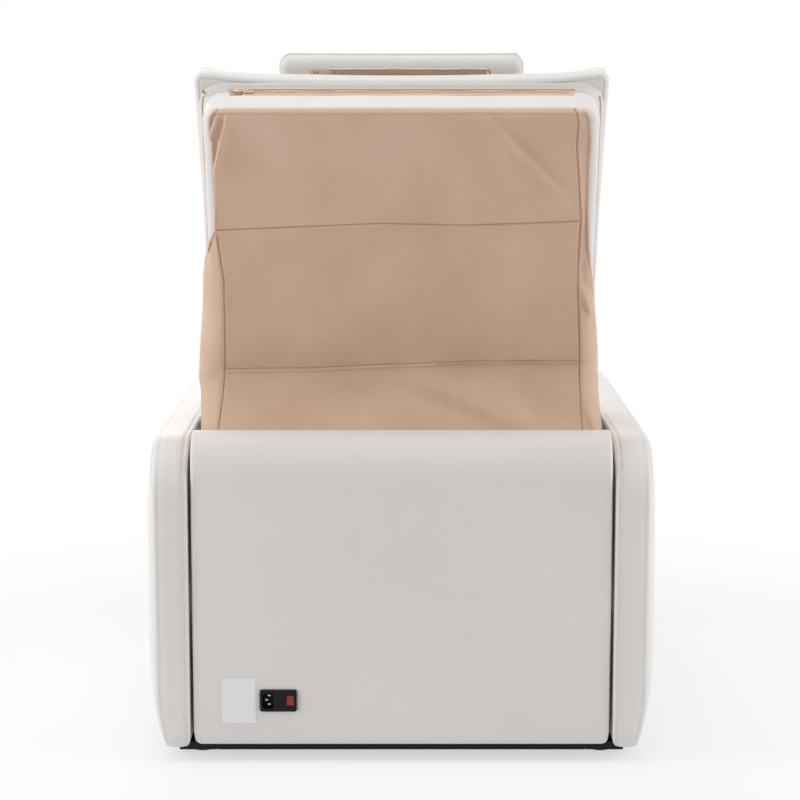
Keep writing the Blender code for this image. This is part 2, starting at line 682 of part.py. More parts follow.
# Linear actuators
def lever_tip(pivot, radius, angle):
    return Vector((pivot[0] - radius * math.sin(angle), pivot[1] - radius * math.cos(angle)))


def aim(vector):
    return math.atan2(vector.y, vector.x)


def make_drive(name, x, clevis, pivot, radius, start, travel, motor_side):
    """Clevis, housing, motor and rod; the eye is slotted by how far a straight-line rod strays half way."""
    base = Vector(clevis)
    arms = [lever_tip(pivot, radius, start + travel * part) - base for part in (0.0, 0.5, 1.0)]
    length = (arms[0].length + arms[2].length) / 2
    angle = (aim(arms[0]) + aim(arms[2])) / 2
    along = Vector((math.cos(angle), math.sin(angle)))
    across = Vector((-along.y, along.x))
    stray = (arms[1].dot(along) - length, arms[1].dot(across))
    print(name, "swing per radian", (aim(arms[2]) - aim(arms[0])) / travel,
          "slide per radian", (arms[2].length - arms[0].length) / travel)
    swing = pivot_empty(f"{name}_swing", (x, *clevis), aim(arms[0]))
    half = DRIVE_GEARBOX_WIDTH / 2
    back = -DRIVE_TUBE_RADIUS
    front = back + DRIVE_GEARBOX
    far = DRIVE_TUBE_RADIUS + 2 * DRIVE_MOTOR_RADIUS
    low, high = ordered((-half, back, -motor_side * DRIVE_TUBE_RADIUS), (half, front, motor_side * far))
    housing = block(f"{name}_housing", low, high, GREY_PLASTIC, swing, DRIVE_BEVEL)
    weld(housing, bar(f"{name}_tube", (0, 0, 0), (0, DRIVE_TUBE_REACH, 0), DRIVE_TUBE_RADIUS - DRIVE_TUBE_STEP,
                      TUBE_SIDES, DARK_STEEL, swing))
    cut(housing, bar(f"{name}_bore", (0, DRIVE_BORE_BOTTOM, 0), (0, 2 * DRIVE_TUBE_REACH, 0),
                     DRIVE_ROD_RADIUS + RUNNING_CLEARANCE, TUBE_SIDES, DARK_STEEL, swing))
    cut(housing, bar(f"{name}_pin_hole", (-2 * half, 0, 0), (2 * half, 0, 0),
                     DRIVE_PIN_RADIUS + RUNNING_CLEARANCE, PIN_SIDES, DARK_STEEL, swing))
    motor_z = motor_side * (DRIVE_TUBE_RADIUS + DRIVE_MOTOR_RADIUS)
    bevel(bar(f"{name}_motor", (0, front + GAP, motor_z), (0, front + GAP + DRIVE_MOTOR_LENGTH, motor_z),
              DRIVE_MOTOR_RADIUS - GAP, TUBE_SIDES, DARK_STEEL, swing), DRIVE_BEVEL)
    make_rod(name, arms[0].length, stray, swing)
    outline = hull(circle(clevis, DRIVE_PIN_RADIUS + LEVER_WALL)
                   + [(clevis[0] - LEVER_ROOT, FLOOR_TOP + GAP), (clevis[0] + LEVER_ROOT, FLOOR_TOP + GAP)])
    plate_x = x + half + SWING_CLEARANCE
    foot = plate(f"{name}_clevis", outline, plate_x, plate_x + DRIVE_PLATE, DARK_STEEL)
    pin_start = (plate_x + DRIVE_PLATE / 2, *clevis)
    pin_end = (x - half - PIN_STAND_OUT, *clevis)
    weld(foot, bar(f"{name}_clevis_pin", pin_start, pin_end, DRIVE_PIN_RADIUS, PIN_SIDES, BRIGHT_STEEL))


def make_rod(name, reach, stray, swing):
    hole = DRIVE_PIN_RADIUS + EYE_PLAY
    ends = ((reach, 0.0), (reach + stray[0], stray[1]))
    eye_outline = hull([p for end in ends for p in circle(end, hole + EYE_WALL)])
    slot_outline = hull([p for end in ends for p in circle(end, hole)])
    rod = bar(f"{name}_rod", (0, DRIVE_ROD_INSERT, 0), (0, reach - hole, 0), DRIVE_ROD_RADIUS, TUBE_SIDES,
              BRIGHT_STEEL, swing)
    weld(rod, plate(f"{name}_eye", eye_outline, -EYE_THICKNESS / 2, EYE_THICKNESS / 2, BRIGHT_STEEL, swing))
    cut(rod, plate(f"{name}_eye_slot", slot_outline, -EYE_THICKNESS, EYE_THICKNESS, BRIGHT_STEEL, swing))


def make_lever(name, root, tip, x, parent):
    """A lever plate beside the rod's eye, with a stud through it."""
    outline = hull(list(root) + circle(tip, DRIVE_PIN_RADIUS + LEVER_WALL))
    near = x + EYE_THICKNESS / 2 + SWING_CLEARANCE
    lever = plate(name, outline, near, near + DRIVE_PLATE, DARK_STEEL, parent)
    stud = bar(f"{name}_stud", (near + DRIVE_PLATE / 2, *tip), (x - EYE_THICKNESS / 2 - PIN_STAND_OUT, *tip),
               DRIVE_PIN_RADIUS, PIN_SIDES, BRIGHT_STEEL, parent)
    return weld(lever, stud)


# Back
BACK_PIVOT = (BACK_PIVOT_Y, BACK_PIVOT_Z)
BACK = pivot_empty("back_pivot", (0.0, *BACK_PIVOT), -BACK_LEAN)
BACK_INNER_X = BACK_BOX_WIDTH / 2 - BAND_WALL - GAP
BACK_BOARD_FRONT = BACK_BAND_FRONT + GAP
BACK_RAIL_FRONT = BACK_BOARD_FRONT + BACK_BOARD_THICKNESS + GAP
BACK_RAIL_TOP = BAND_TOP - BACK_BOX_RADIUS
BACK_RAIL_INNER_X = BACK_INNER_X - BACK_RAIL_SIZE
BACK_PLATE_X = BACK_INNER_X + GAP
BACK_PLATE_RADIUS = BACK_BAND_REAR - 2 * GAP


def to_back(y, z):
    """A chair place (y, z) in the back's own upright frame."""
    dy = y - BACK_PIVOT_Y
    dz = z - BACK_PIVOT_Z
    sine = math.sin(BACK_LEAN)
    cosine = math.cos(BACK_LEAN)
    return Vector((dy * cosine - dz * sine, dy * sine + dz * cosine))


def make_back_frame():
    rear = BACK_RAIL_FRONT + BACK_RAIL_SIZE
    for side_name, side in SIDES:
        sided_block(f"back_rail_{side_name}", side, (BACK_RAIL_INNER_X, BACK_RAIL_FRONT, BACK_RAIL_BOTTOM),
                    (BACK_INNER_X, rear, BACK_RAIL_TOP), DARK_STEEL, BACK)
        lift = BAND_BOTTOM - BACK_PLATE_RADIUS - GAP
        outline = hull(circle((0.0, 0.0), BACK_PLATE_RADIUS) + circle((0.0, lift), BACK_PLATE_RADIUS))
        drilled_plate(f"back_hinge_plate_{side_name}", outline, side, BACK_PLATE_X,
                      BACK_PIN_RADIUS + RUNNING_CLEARANCE, BACK)
        bracket_x = BACK_PLATE_X + HINGE_PLATE + RUNNING_CLEARANCE
        stem = [(BACK_PIVOT_Y - HINGE_RADIUS, RAIL_TOP + GAP), (BACK_PIVOT_Y + HINGE_RADIUS, RAIL_TOP + GAP)]
        pinned_bracket(f"back_bracket_{side_name}", hull(circle(BACK_PIVOT, HINGE_RADIUS) + stem), side,
                       bracket_x, BACK_PIVOT, BACK_PIN_RADIUS, HINGE_PLATE)
    reach = BACK_RAIL_INNER_X - GAP
    for end_name, low in (("bottom", BACK_RAIL_BOTTOM), ("top", BACK_RAIL_TOP - BACK_RAIL_SIZE)):
        block(f"back_rail_{end_name}", (-reach, BACK_RAIL_FRONT, low), (reach, rear, low + BACK_RAIL_SIZE),
              DARK_STEEL, BACK)
    block("back_board", (-BACK_INNER_X, BACK_BOARD_FRONT, BACK_RAIL_BOTTOM),
          (BACK_INNER_X, BACK_BOARD_FRONT + BACK_BOARD_THICKNESS, BACK_RAIL_TOP), PLYWOOD, BACK)
    root = ((BACK_RAIL_FRONT, BACK_RAIL_BOTTOM - GAP), (rear, BACK_RAIL_BOTTOM - GAP))
    tip = to_back(*lever_tip(BACK_PIVOT, BACK_LEVER_RADIUS, BACK_LEVER_START))
    make_lever("back_lever", root, tuple(tip), BACK_DRIVE_X, BACK)


def make_back_pads():
    box_height = BACK_BOX_TOP - BACK_BOX_BOTTOM
    outline = rounded_rectangle(BACK_BOX_WIDTH, box_height, (BACK_BOX_RADIUS,) * 4, 3)
    pad("back_box_pad", outline, BACK_BAND_REAR + GAP, BACK_REAR_FACE, FACING_REAR,
        (0.0, 0.0, (BACK_BOX_TOP + BACK_BOX_BOTTOM) / 2), WHITE_LEATHER, BACK, BAND_WALL, BACK_BOX_EDGE)
    pad_height = BACK_PAD_TOP - BACK_PAD_BOTTOM
    outline = rounded_rectangle(BACK_PAD_WIDTH, pad_height, (BACK_PAD_RADIUS,) * 4, 5, BACK_PAD_PULL)
    pad("back_front_pad", outline, -BACK_BAND_FRONT + GAP, -BACK_FRONT_FACE, FACING_FRONT,
        (0.0, 0.0, (BACK_PAD_TOP + BACK_PAD_BOTTOM) / 2), WHITE_LEATHER, BACK, BAND_WALL, BACK_PAD_EDGE,
        BACK_PAD_CROWN)


def make_zip_band():
    """The sewn band between the two pads: up one side, over the top and down the other."""
    wide = BACK_BOX_WIDTH / 2

    def arch(offset):
        radius = BACK_BOX_RADIUS - offset
        centre_x = wide - BACK_BOX_RADIUS
        centre_z = BAND_TOP - BACK_BOX_RADIUS
        path = [(wide - offset, BAND_BOTTOM)]
        path += arc((centre_x, centre_z), (radius, radius), 0.0, math.pi / 2)
        path += arc((-centre_x, centre_z), (radius, radius), math.pi / 2, math.pi)
        return path + [(-wide + offset, BAND_BOTTOM)]

    outer = arch(0.0)
    inner = arch(BAND_WALL)
    count = len(outer)
    vertices = []
    for y in (BACK_BAND_FRONT, BACK_BAND_REAR):
        vertices += [(x, y, z) for x, z in outer]
        vertices += [(x, y, z) for x, z in inner]
    faces = [(0, count, 3 * count, 2 * count), (count - 1, 3 * count - 1, 4 * count - 1, 2 * count - 1)]
    for i in range(count - 1):
        for first, second in ((0, count), (2 * count, 3 * count), (0, 2 * count), (count, 3 * count)):
            faces.append((first + i, first + i + 1, second + i + 1, second + i))
    add_node("zip_band", vertices, faces, WHITE_LEATHER, BACK)


# Zips: a flat tape with its teeth, and a slider whose pull lies along it
def make_zip(name, length, width, place, lean, slider_x, parent):
    frame = pivot_empty(f"{name}_line", place, lean, parent)
    block(name, (-length / 2, -width / 2, GAP), (length / 2, width / 2, ZIP_HEIGHT), ZIP_BEIGE, frame)
    floor = ZIP_HEIGHT + GAP
    slider = block(f"{name}_slider", (slider_x - SLIDER_LENGTH, -SLIDER_WIDTH / 2, floor),
                   (slider_x, SLIDER_WIDTH / 2, floor + SLIDER_HEIGHT), ZIP_METAL, frame)
    weld(slider, block(f"{name}_pull", (slider_x - SLIDER_LENGTH / 2, -PULL_WIDTH / 2, floor + GAP),
                       (slider_x - SLIDER_LENGTH / 2 + PULL_LENGTH, PULL_WIDTH / 2, floor + GAP + PULL_HEIGHT),
                       ZIP_METAL, frame))


# Cloth cover: over the rear face, round the sides lower down, then out to the rear panel
def smooth_step(value, start, end):
    share = min(1.0, max(0.0, (value - start) / (end - start)))
    return share * share * (3 - 2 * share)


# Folds of the cover: ends as (across, up) in the back's frame, half width and height
COVER_FOLDS = (
    ((-0.120, 0.586), (-0.240, 0.462), 0.016, 0.0070),
    ((0.257, 0.588), (0.278, 0.500), 0.012, 0.0060),
    ((0.278, 0.480), (0.240, 0.420), 0.014, 0.0050),
    ((0.160, 0.200), (-0.080, 0.120), 0.022, 0.0070),
    ((-0.130, 0.225), (-0.300, 0.120), 0.020, 0.0080),
    ((-0.310, 0.300), (-0.260, 0.150), 0.018, 0.0070),
    ((0.310, 0.320), (0.250, 0.160), 0.018, 0.0060),
)


def fold_height(across, up):
    """How far the folds lift the cloth at a place: soft ridges along straight creases."""
    lift = 0.0
    place = Vector((across, up))
    for start, end, width, height in COVER_FOLDS:
        start = Vector(start)
        run = Vector(end) - start
        share = (place - start).dot(run) / run.length_squared
        if not 0.0 < share < 1.0:
            continue
        aside = (place - start - run * share).length / width
        lift += height * math.sin(math.pi * share) * math.exp(-aside * aside)
    return lift


COVER_FLAT_ROWS = 15
COVER_ROWS = 26
COVER_COLUMNS = 23
COVER_EDGE_CROWDING = 1.8


def cover_path():
    """Side view of the cover, top to bottom, as (rearward, up) points in the back's frame."""
    plane = BACK_REAR_FACE + COVER_STAND_OFF
    leave = Vector((plane, COVER_LEAVES_BACK))
    end = to_back(REAR_INNER_Y - COVER_PANEL_CLEARANCE, COVER_END_Z)
    corner = Vector((plane, end.y + COVER_BEND_SHARE * (COVER_LEAVES_BACK - end.y)))
    path = []
    for i in range(COVER_FLAT_ROWS):
        path.append(Vector((plane, COVER_HEM)).lerp(leave, i / COVER_FLAT_ROWS))
    rest = COVER_ROWS - COVER_FLAT_ROWS
    for i in range(rest):
        share = i / (rest - 1)
        path.append(leave.lerp(corner, share).lerp(corner.lerp(end, share), share))
    return path


def cover_section(distance, half, wrap):
    """Place at a distance from the middle: straight out, then round the side. Returns (across, forward)."""
    radius = min(COVER_WRAP_RADIUS, wrap)
    flat = half - radius
    if distance <= flat or radius < GAP:
        return distance, 0.0
    turn = (distance - flat) / radius
    if turn < math.pi / 2:
        return flat + radius * math.sin(turn), radius * (1 - math.cos(turn))
    return half, radius + distance - flat - radius * math.pi / 2


def make_cover():
    path = cover_path()
    vertices = []
    for row, centre in enumerate(path):
        before = path[max(row - 1, 0)]
        after = path[min(row + 1, COVER_ROWS - 1)]
        run = (after - before).normalized()
        rearward = Vector((-run.y, run.x))
        widening = smooth_step(centre.y, COVER_FLARE_TOP, COVER_FLARE_LOW)
        half = (COVER_TOP_WIDTH + (COVER_LOW_WIDTH - COVER_TOP_WIDTH) * widening) / 2
        wrap = COVER_WRAP * smooth_step(centre.y, COVER_FLARE_LOW, COVER_WRAP_LOW)
        radius = min(COVER_WRAP_RADIUS, wrap)
        reach = half - radius + radius * math.pi / 2 + wrap - radius
        for column in range(COVER_COLUMNS):
            share = 2 * column / (COVER_COLUMNS - 1) - 1
            distance = reach * (1 - (1 - abs(share)) ** COVER_EDGE_CROWDING)
            across, forward = cover_section(distance, half, wrap)
            across = math.copysign(across, share)
            lift = fold_height(across, centre.y)
            place = centre + rearward * (lift - forward)
            vertices.append((across, place.x, place.y))
    faces = []
    for row in range(COVER_ROWS - 1):
        for column in range(COVER_COLUMNS - 1):
            corner = row * COVER_COLUMNS + column
            faces.append((corner, corner + 1, corner + COVER_COLUMNS + 1, corner + COVER_COLUMNS))
    cover = add_node("back_cover", vertices, faces, BEIGE_CLOTH, BACK, smooth=80.0)
    wall = cover.modifiers.new("cloth_thickness", "SOLIDIFY")
    wall.thickness = COVER_THICKNESS
    wall.offset = -1.0
    return cover


# Head pillow
def make_pillow():
    contact = PILLOW_TOP - PILLOW_HEIGHT + PILLOW_CONTACT_RISE - (BACK_PAD_TOP + BACK_PAD_BOTTOM) / 2
    share = max(contact, 0.0) / ((BACK_PAD_TOP - BACK_PAD_BOTTOM) / 2 - BACK_PAD_EDGE)
    rear = BACK_FRONT_FACE - BACK_PAD_CROWN * (1 - share ** CROWN_POWER) - GAP
    outline = rounded_rectangle(PILLOW_WIDTH, PILLOW_HEIGHT, (PILLOW_RADIUS,) * 4, 3, PILLOW_PULL)
    cushion = pad("pillow_pad", outline, -rear, -rear + PILLOW_THICKNESS, FACING_FRONT,
                  (0.0, 0.0, PILLOW_TOP - PILLOW_HEIGHT / 2), WHITE_LEATHER, BACK, PILLOW_EDGE, PILLOW_EDGE,
                  PILLOW_CROWN)
    place = (0.0, rear - ZIP_HEIGHT, PILLOW_TOP - PILLOW_ZIP_DROP)
    make_zip("pillow_zip", PILLOW_ZIP_LENGTH, SLIDER_WIDTH, place, -math.pi / 2, PILLOW_SLIDER_X, BACK)
    groove = pivot_empty("pillow_groove_line", place, -math.pi / 2, BACK)
    reach = PILLOW_ZIP_LENGTH / 2 + GAP
    wide = SLIDER_WIDTH / 2 + GAP
    cut(cushion, block("pillow_groove", (-reach, -wide, 0.0), (reach, wide, PILLOW_EDGE), WHITE_LEATHER, groove))


# Leg rest
LEG_PIVOT = (LEG_PIVOT_Y, LEG_PIVOT_Z)
LEG = pivot_empty("leg_pivot", (0.0, *LEG_PIVOT))


def from_leg(y, z):
    return y - LEG_PIVOT_Y, z - LEG_PIVOT_Z


def make_legrest():
    half = HALF_BAY - LEG_SIDE_CLEARANCE
    board_front = LEG_REAR - LEG_BOARD_THICKNESS
    inset = half - LEG_BOARD_MARGIN
    block("legrest_board", (-inset, *from_leg(board_front, LEG_BOTTOM + LEG_BOARD_MARGIN)),
          (inset, *from_leg(LEG_REAR, LEG_TOP - LEG_BOARD_MARGIN)), PLYWOOD, LEG)
    radii = (LEG_CORNER_RADIUS,) * 4
    outline = rounded_rectangle(2 * half, LEG_TOP - LEG_BOTTOM, radii, 4, SEAT_SIDE_CLEARANCE)
    pad("legrest_pad", outline, GAP, LEG_PAD_THICKNESS, FACING_FRONT,
        (0.0, *from_leg(board_front, (LEG_TOP + LEG_BOTTOM) / 2)), WHITE_LEATHER, LEG, LEG_EDGE / 2, LEG_EDGE,
        LEG_CROWN)
    bracket_x = RAIL_INNER_X - GAP - HINGE_PLATE
    head = LEG_REAR + GAP - LEG_PIVOT_Y
    ear = -head - SEAT_SIDE_CLEARANCE
    plate_root = [from_leg(LEG_REAR + GAP, LEG_TOP - LEG_BOARD_MARGIN),
                  from_leg(LEG_REAR + GAP, LEG_TOP - LEG_BOARD_MARGIN - LEVER_ROOT)]
    front = LEG_PIVOT_Y - ear
    rear = LEG_PIVOT_Y + ear
    low = SEAT_RAIL_BOTTOM + GAP
    high = RAIL_TOP - GAP
    bracket = [(SEAT_BOARD_FRONT, low), (SEAT_BOARD_FRONT, high), (rear, high)]
    bracket += arc(LEG_PIVOT, (ear, ear), 0.0, math.pi, ROLL_POINTS)
    bracket += [(front, high), (rear, low)]
    for side_name, side in SIDES:
        pinned_bracket(f"legrest_bracket_{side_name}", bracket, side, bracket_x, LEG_PIVOT, LEG_PIN_RADIUS,
                       HINGE_PLATE + RUNNING_CLEARANCE + PIN_STAND_OUT)
        drilled_plate(f"legrest_hinge_plate_{side_name}", hull(circle((0.0, 0.0), ear) + plate_root), side,
                      bracket_x - RUNNING_CLEARANCE - HINGE_PLATE, LEG_PIN_RADIUS + RUNNING_CLEARANCE, LEG)
    tip = lever_tip(LEG_PIVOT, LEG_LEVER_RADIUS, LEG_LEVER_START)
    root = [from_leg(LEG_REAR + GAP, tip.y + step) for step in (-LEVER_ROOT / 2, LEVER_ROOT / 2)]
    make_lever("legrest_lever", root, from_leg(*tip), LEG_DRIVE_X, LEG)


make_plinth()
make_arms()
make_rear_panel()
make_seat()
make_back_frame()
make_back_pads()
make_zip_band()
make_zip("back_zip", BACK_ZIP_LENGTH, ZIP_WIDTH, (0.0, (BACK_BAND_FRONT + BACK_BAND_REAR) / 2, BAND_TOP), 0.0,
         BACK_SLIDER_X, BACK)
make_cover()
make_pillow()
make_legrest()
make_drive("back_actuator", BACK_DRIVE_X, (BACK_CLEVIS_Y, BACK_CLEVIS_Z), BACK_PIVOT, BACK_LEVER_RADIUS,
           BACK_LEVER_START, BACK_RECLINE, -1)
make_drive("leg_actuator", LEG_DRIVE_X, (LEG_CLEVIS_Y, LEG_CLEVIS_Z), LEG_PIVOT, LEG_LEVER_RADIUS,
           LEG_LEVER_START, LEG_LIFT, 1)
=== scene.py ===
"""Looks of the electric massage bed: padded covers, cloth, seams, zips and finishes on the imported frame."""
import json
import math

import bmesh
import bpy
import numpy as np
from mathutils import Matrix, Vector, noise


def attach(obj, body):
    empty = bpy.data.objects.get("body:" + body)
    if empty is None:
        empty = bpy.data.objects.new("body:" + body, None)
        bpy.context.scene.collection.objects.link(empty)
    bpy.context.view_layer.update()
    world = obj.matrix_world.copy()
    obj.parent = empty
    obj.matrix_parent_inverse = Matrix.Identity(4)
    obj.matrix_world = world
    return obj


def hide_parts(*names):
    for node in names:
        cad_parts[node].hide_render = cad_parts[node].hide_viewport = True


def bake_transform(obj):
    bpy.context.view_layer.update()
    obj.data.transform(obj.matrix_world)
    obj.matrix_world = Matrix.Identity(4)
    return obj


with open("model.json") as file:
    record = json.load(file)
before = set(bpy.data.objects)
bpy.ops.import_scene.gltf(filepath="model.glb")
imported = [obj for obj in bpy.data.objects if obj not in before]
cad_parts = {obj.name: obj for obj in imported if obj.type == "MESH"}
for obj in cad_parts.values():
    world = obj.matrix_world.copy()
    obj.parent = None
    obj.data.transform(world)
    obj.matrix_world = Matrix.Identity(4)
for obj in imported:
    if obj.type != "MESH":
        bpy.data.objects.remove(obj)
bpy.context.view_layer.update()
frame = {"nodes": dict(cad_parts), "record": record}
NODES = frame["nodes"]

# Places and sizes that the covers share with the frame, in metres and radians
HALF_BAY = 0.330
ARM_BOTTOM, ARM_TOP, ARM_REACH = 0.020, 0.510, 0.450
ARM_GUSSET, ARM_CROWN = 0.054, 0.026
BACK_LEAN = math.radians(20.0)
BACK_PIVOT = (0.0, 0.1445, 0.4807)
LEG_FRONT_OF_BOARD = -0.4143
BACK = Matrix.Translation(BACK_PIVOT) @ Matrix.Rotation(-BACK_LEAN, 4, "X")

# Directions that a pad's own axes take: across, up its face, out of its face
FACING_LEFT = Matrix(((0, 0, 1, 0), (1, 0, 0, 0), (0, 1, 0, 0), (0, 0, 0, 1)))
FACING_RIGHT = Matrix(((0, 0, -1, 0), (-1, 0, 0, 0), (0, 1, 0, 0), (0, 0, 0, 1)))
FACING_FRONT = Matrix(((1, 0, 0, 0), (0, 0, -1, 0), (0, 1, 0, 0), (0, 0, 0, 1)))
FACING_REAR = Matrix(((-1, 0, 0, 0), (0, 0, 1, 0), (0, 1, 0, 0), (0, 0, 0, 1)))


# Finishes
def to_linear(text):
    channels = (int(text[i:i + 2], 16) / 255 for i in (1, 3, 5))
    return (*(c / 12.92 if c <= 0.04045 else ((c + 0.055) / 1.055) ** 2.4 for c in channels), 1.0)


def feed(tree, node, inputs):
    """Sets or links a node's inputs; a node given as a value is linked by its first output in use."""
    for name, value in inputs.items():
        if isinstance(value, bpy.types.Node):
            value = next(output for output in value.outputs if output.enabled)
        if isinstance(value, bpy.types.NodeSocket):
            tree.links.new(value, node.inputs[name])
        else:
            node.inputs[name].default_value = value
    return node


def add(tree, kind, inputs=None, **settings):
    """Adds one node with its settings, its values and its links."""
    node = tree.nodes.new(kind)
    for name, value in settings.items():
        setattr(node, name, value)
    return feed(tree, node, inputs or {})


def new_finish(name):
    finish = bpy.data.materials.new(name)
    finish.use_nodes = True
    return finish, finish.node_tree, finish.node_tree.nodes["Principled BSDF"]


# A colour mix, and the sockets of its two colours
COLOUR, A, B = {"data_type": "RGBA"}, 6, 7
# Scale of a wave texture whose bands repeat every millimetre
WAVE = 2 * math.pi / 20 * 1000


def leather(name, pale, deep, pebble_mm):
    """Artificial leather: a satin film embossed with a fine pebble, so light spreads softly over it."""
    finish, tree, shader = new_finish(name)
    place = add(tree, "ShaderNodeTexCoord").outputs["Object"]
    pebble = add(tree, "ShaderNodeTexVoronoi",
                 {"Vector": place, "Scale": 1000 / pebble_mm, "Smoothness": 0.7}, feature="SMOOTH_F1")
    # Pores two thirds of a millimetre apart, and patches of 200 mm
    pores = add(tree, "ShaderNodeTexNoise", {"Vector": place, "Scale": 1500.0, "Detail": 2.0})
    patch = add(tree, "ShaderNodeTexNoise", {"Vector": place, "Scale": 5.0, "Detail": 4.0})
    tint = add(tree, "ShaderNodeMix", {0: patch, A: to_linear(pale), B: to_linear(deep)}, **COLOUR)
    # Painted shade darkens the leather along its sewn grooves
    seam = add(tree, "ShaderNodeAttribute", attribute_name="seam").outputs["Fac"]
    seam_shade = add(tree, "ShaderNodeMath", {0: seam, 1: 0.24}, operation="MULTIPLY")
    seam_shaded = add(tree, "ShaderNodeMix", {0: seam_shade, A: tint, B: to_linear("#9C8F84")}, **COLOUR)
    gloss = add(tree, "ShaderNodeMapRange", {"Value": patch, "To Min": 0.38, "To Max": 0.50})
    height = add(tree, "ShaderNodeMath", {0: pores, 1: 0.25, 2: pebble}, operation="MULTIPLY_ADD")
    grain = add(tree, "ShaderNodeBump", {"Strength": 0.16, "Distance": 0.0006, "Height": height})
    feed(tree, shader, {"Base Color": seam_shaded, "Roughness": gloss, "Normal": grain, "IOR": 1.48})
    return finish


def woven_cloth(name, pale, deep, thread_mm, stitch_mm):
    """Plain-woven stretch cloth: matt, with crossing threads and a faint nap that lightens at the edges."""
    finish, tree, shader = new_finish(name)
    place = add(tree, "ShaderNodeUVMap", uv_map="threads").outputs[0]
    turns = {"Vector": place, "Scale": WAVE / thread_mm, "Distortion": 0.4}
    warp = add(tree, "ShaderNodeTexWave", turns, bands_direction="X").outputs[1]
    weft = add(tree, "ShaderNodeTexWave", turns, bands_direction="Y").outputs[1]
    cross = add(tree, "ShaderNodeMath", {0: warp, 1: weft}, operation="MAXIMUM")
    # Slubs about 17 mm long and 1 mm thick, and patches of 140 mm
    stretched = add(tree, "ShaderNodeMapping", {"Vector": place, "Scale": (60.0, 900.0, 1.0)})
    slub = add(tree, "ShaderNodeTexNoise", {"Vector": stretched, "Scale": 1.0, "Detail": 3.0})
    patch = add(tree, "ShaderNodeTexNoise", {"Vector": place, "Scale": 7.0, "Detail": 3.0})
    shade = add(tree, "ShaderNodeMath", {0: slub, 1: 0.45, 2: patch}, operation="MULTIPLY_ADD")
    spread = add(tree, "ShaderNodeMapRange", {"Value": shade, "From Min": 0.45, "From Max": 1.0})
    tint = add(tree, "ShaderNodeMix", {0: spread, A: to_linear(deep), B: to_linear(pale)}, **COLOUR)
    # The hem lies double and looks paler
    hem = add(tree, "ShaderNodeAttribute", attribute_name="hem").outputs["Fac"]
    doubled = add(tree, "ShaderNodeMath", {0: hem, 1: 0.75}, operation="MULTIPLY")
    hemmed = add(tree, "ShaderNodeMix", {0: doubled, A: tint, B: to_linear("#E9CBB0")}, **COLOUR)
    # Stitches and painted shade darken the seams: the stitches one after another up the cloth, the painted
    # shade of the seam's groove also between them
    seam = add(tree, "ShaderNodeAttribute", attribute_name="seam").outputs["Fac"]
    stitch = add(tree, "ShaderNodeTexWave", {"Vector": place, "Scale": WAVE / stitch_mm}, bands_direction="Y")
    thread = add(tree, "ShaderNodeMapRange", {"Value": stitch.outputs[1], "To Min": 0.12, "To Max": 0.42})
    seam_and_stitch_shade = add(tree, "ShaderNodeMath", {0: seam, 1: thread}, operation="MULTIPLY")
    sewn = add(tree, "ShaderNodeMix", {0: seam_and_stitch_shade, A: hemmed, B: to_linear("#7E6049")}, **COLOUR)
    weave = add(tree, "ShaderNodeBump", {"Strength": 0.22, "Distance": 0.0005, "Height": cross})
    feed(tree, shader, {"Base Color": sewn, "Roughness": 0.82, "Normal": weave, "Sheen Weight": 0.25,
                        "Sheen Roughness": 0.45, "IOR": 1.45})
    return finish


def coated(name, colours, roughness, grain_mm, depth_mm=0.1, metallic=0.0, ior=1.5):
    """A moulded, painted or plated surface: two close shades and a fine grain from its making."""
    finish, tree, shader = new_finish(name)
    place = add(tree, "ShaderNodeTexCoord").outputs["Object"]
    grain = add(tree, "ShaderNodeTexNoise", {"Vector": place, "Scale": 1000 / grain_mm, "Detail": 3.0})
    # Patches of 40 mm
    patch = add(tree, "ShaderNodeTexNoise", {"Vector": place, "Scale": 25.0, "Detail": 4.0})
    pale, deep = (to_linear(colour) for colour in colours)
    tint = add(tree, "ShaderNodeMix", {0: patch, A: pale, B: deep}, **COLOUR)
    gloss = add(tree, "ShaderNodeMapRange",
                {"Value": grain, "To Min": roughness - 0.06, "To Max": roughness + 0.06})
    relief = add(tree, "ShaderNodeBump", {"Strength": 0.2, "Distance": depth_mm / 1000, "Height": grain})
    feed(tree, shader, {"Base Color": tint, "Roughness": gloss, "Normal": relief, "Metallic": metallic})
    if not metallic:
        shader.inputs["IOR"].default_value = ior
    return finish


def plywood(name, pale, deep):
    """Poplar plywood: long grain streaks of about 4 mm, sanded and unsealed."""
    finish, tree, shader = new_finish(name)
    place = add(tree, "ShaderNodeTexCoord").outputs["Object"]
    stretched = add(tree, "ShaderNodeMapping", {"Vector": place, "Scale": (250.0, 250.0, 12.0)})
    streak = add(tree, "ShaderNodeTexNoise",
                 {"Vector": stretched, "Scale": 1.0, "Detail": 5.0, "Distortion": 0.6})
    tint = add(tree, "ShaderNodeMix", {0: streak, A: to_linear(pale), B: to_linear(deep)}, **COLOUR)
    fibre = add(tree, "ShaderNodeBump", {"Strength": 0.25, "Distance": 0.0003, "Height": streak})
    feed(tree, shader, {"Base Color": tint, "Roughness": 0.7, "Normal": fibre})
    return finish


WHITE_LEATHER = leather("white_artificial_leather", "#E9E6E3", "#E1DDD9", 2.2)
# Threads of 0.5 mm and stitches of 3 mm, both drawn coarser so that they show
BEIGE_CLOTH = woven_cloth("beige_stretch_cloth", "#DEC0A8", "#D0AE95", 1.6, 4.5)
# Nylon tape and teeth: dull, with a soft broad shine
ZIP_NYLON = coated("beige_zip_nylon", ("#DCBEA6", "#CFAE95"), 0.55, 0.9)
# A paler copy of the zip nylon, painted light that lifts the pillow zip out of the shade behind the pad; the
# teeth of both zips use it too
SHADE_LIFTED_NYLON = coated("shade_lifted_zip_nylon", ("#F0D6C0", "#E6C8B0"), 0.6, 0.9)
# Enamel over a casting: smooth, with clear small highlights
ZIP_ENAMEL = coated("beige_enamelled_zinc", ("#EBCFB4", "#E0BFA2"), 0.34, 0.6, 0.05)
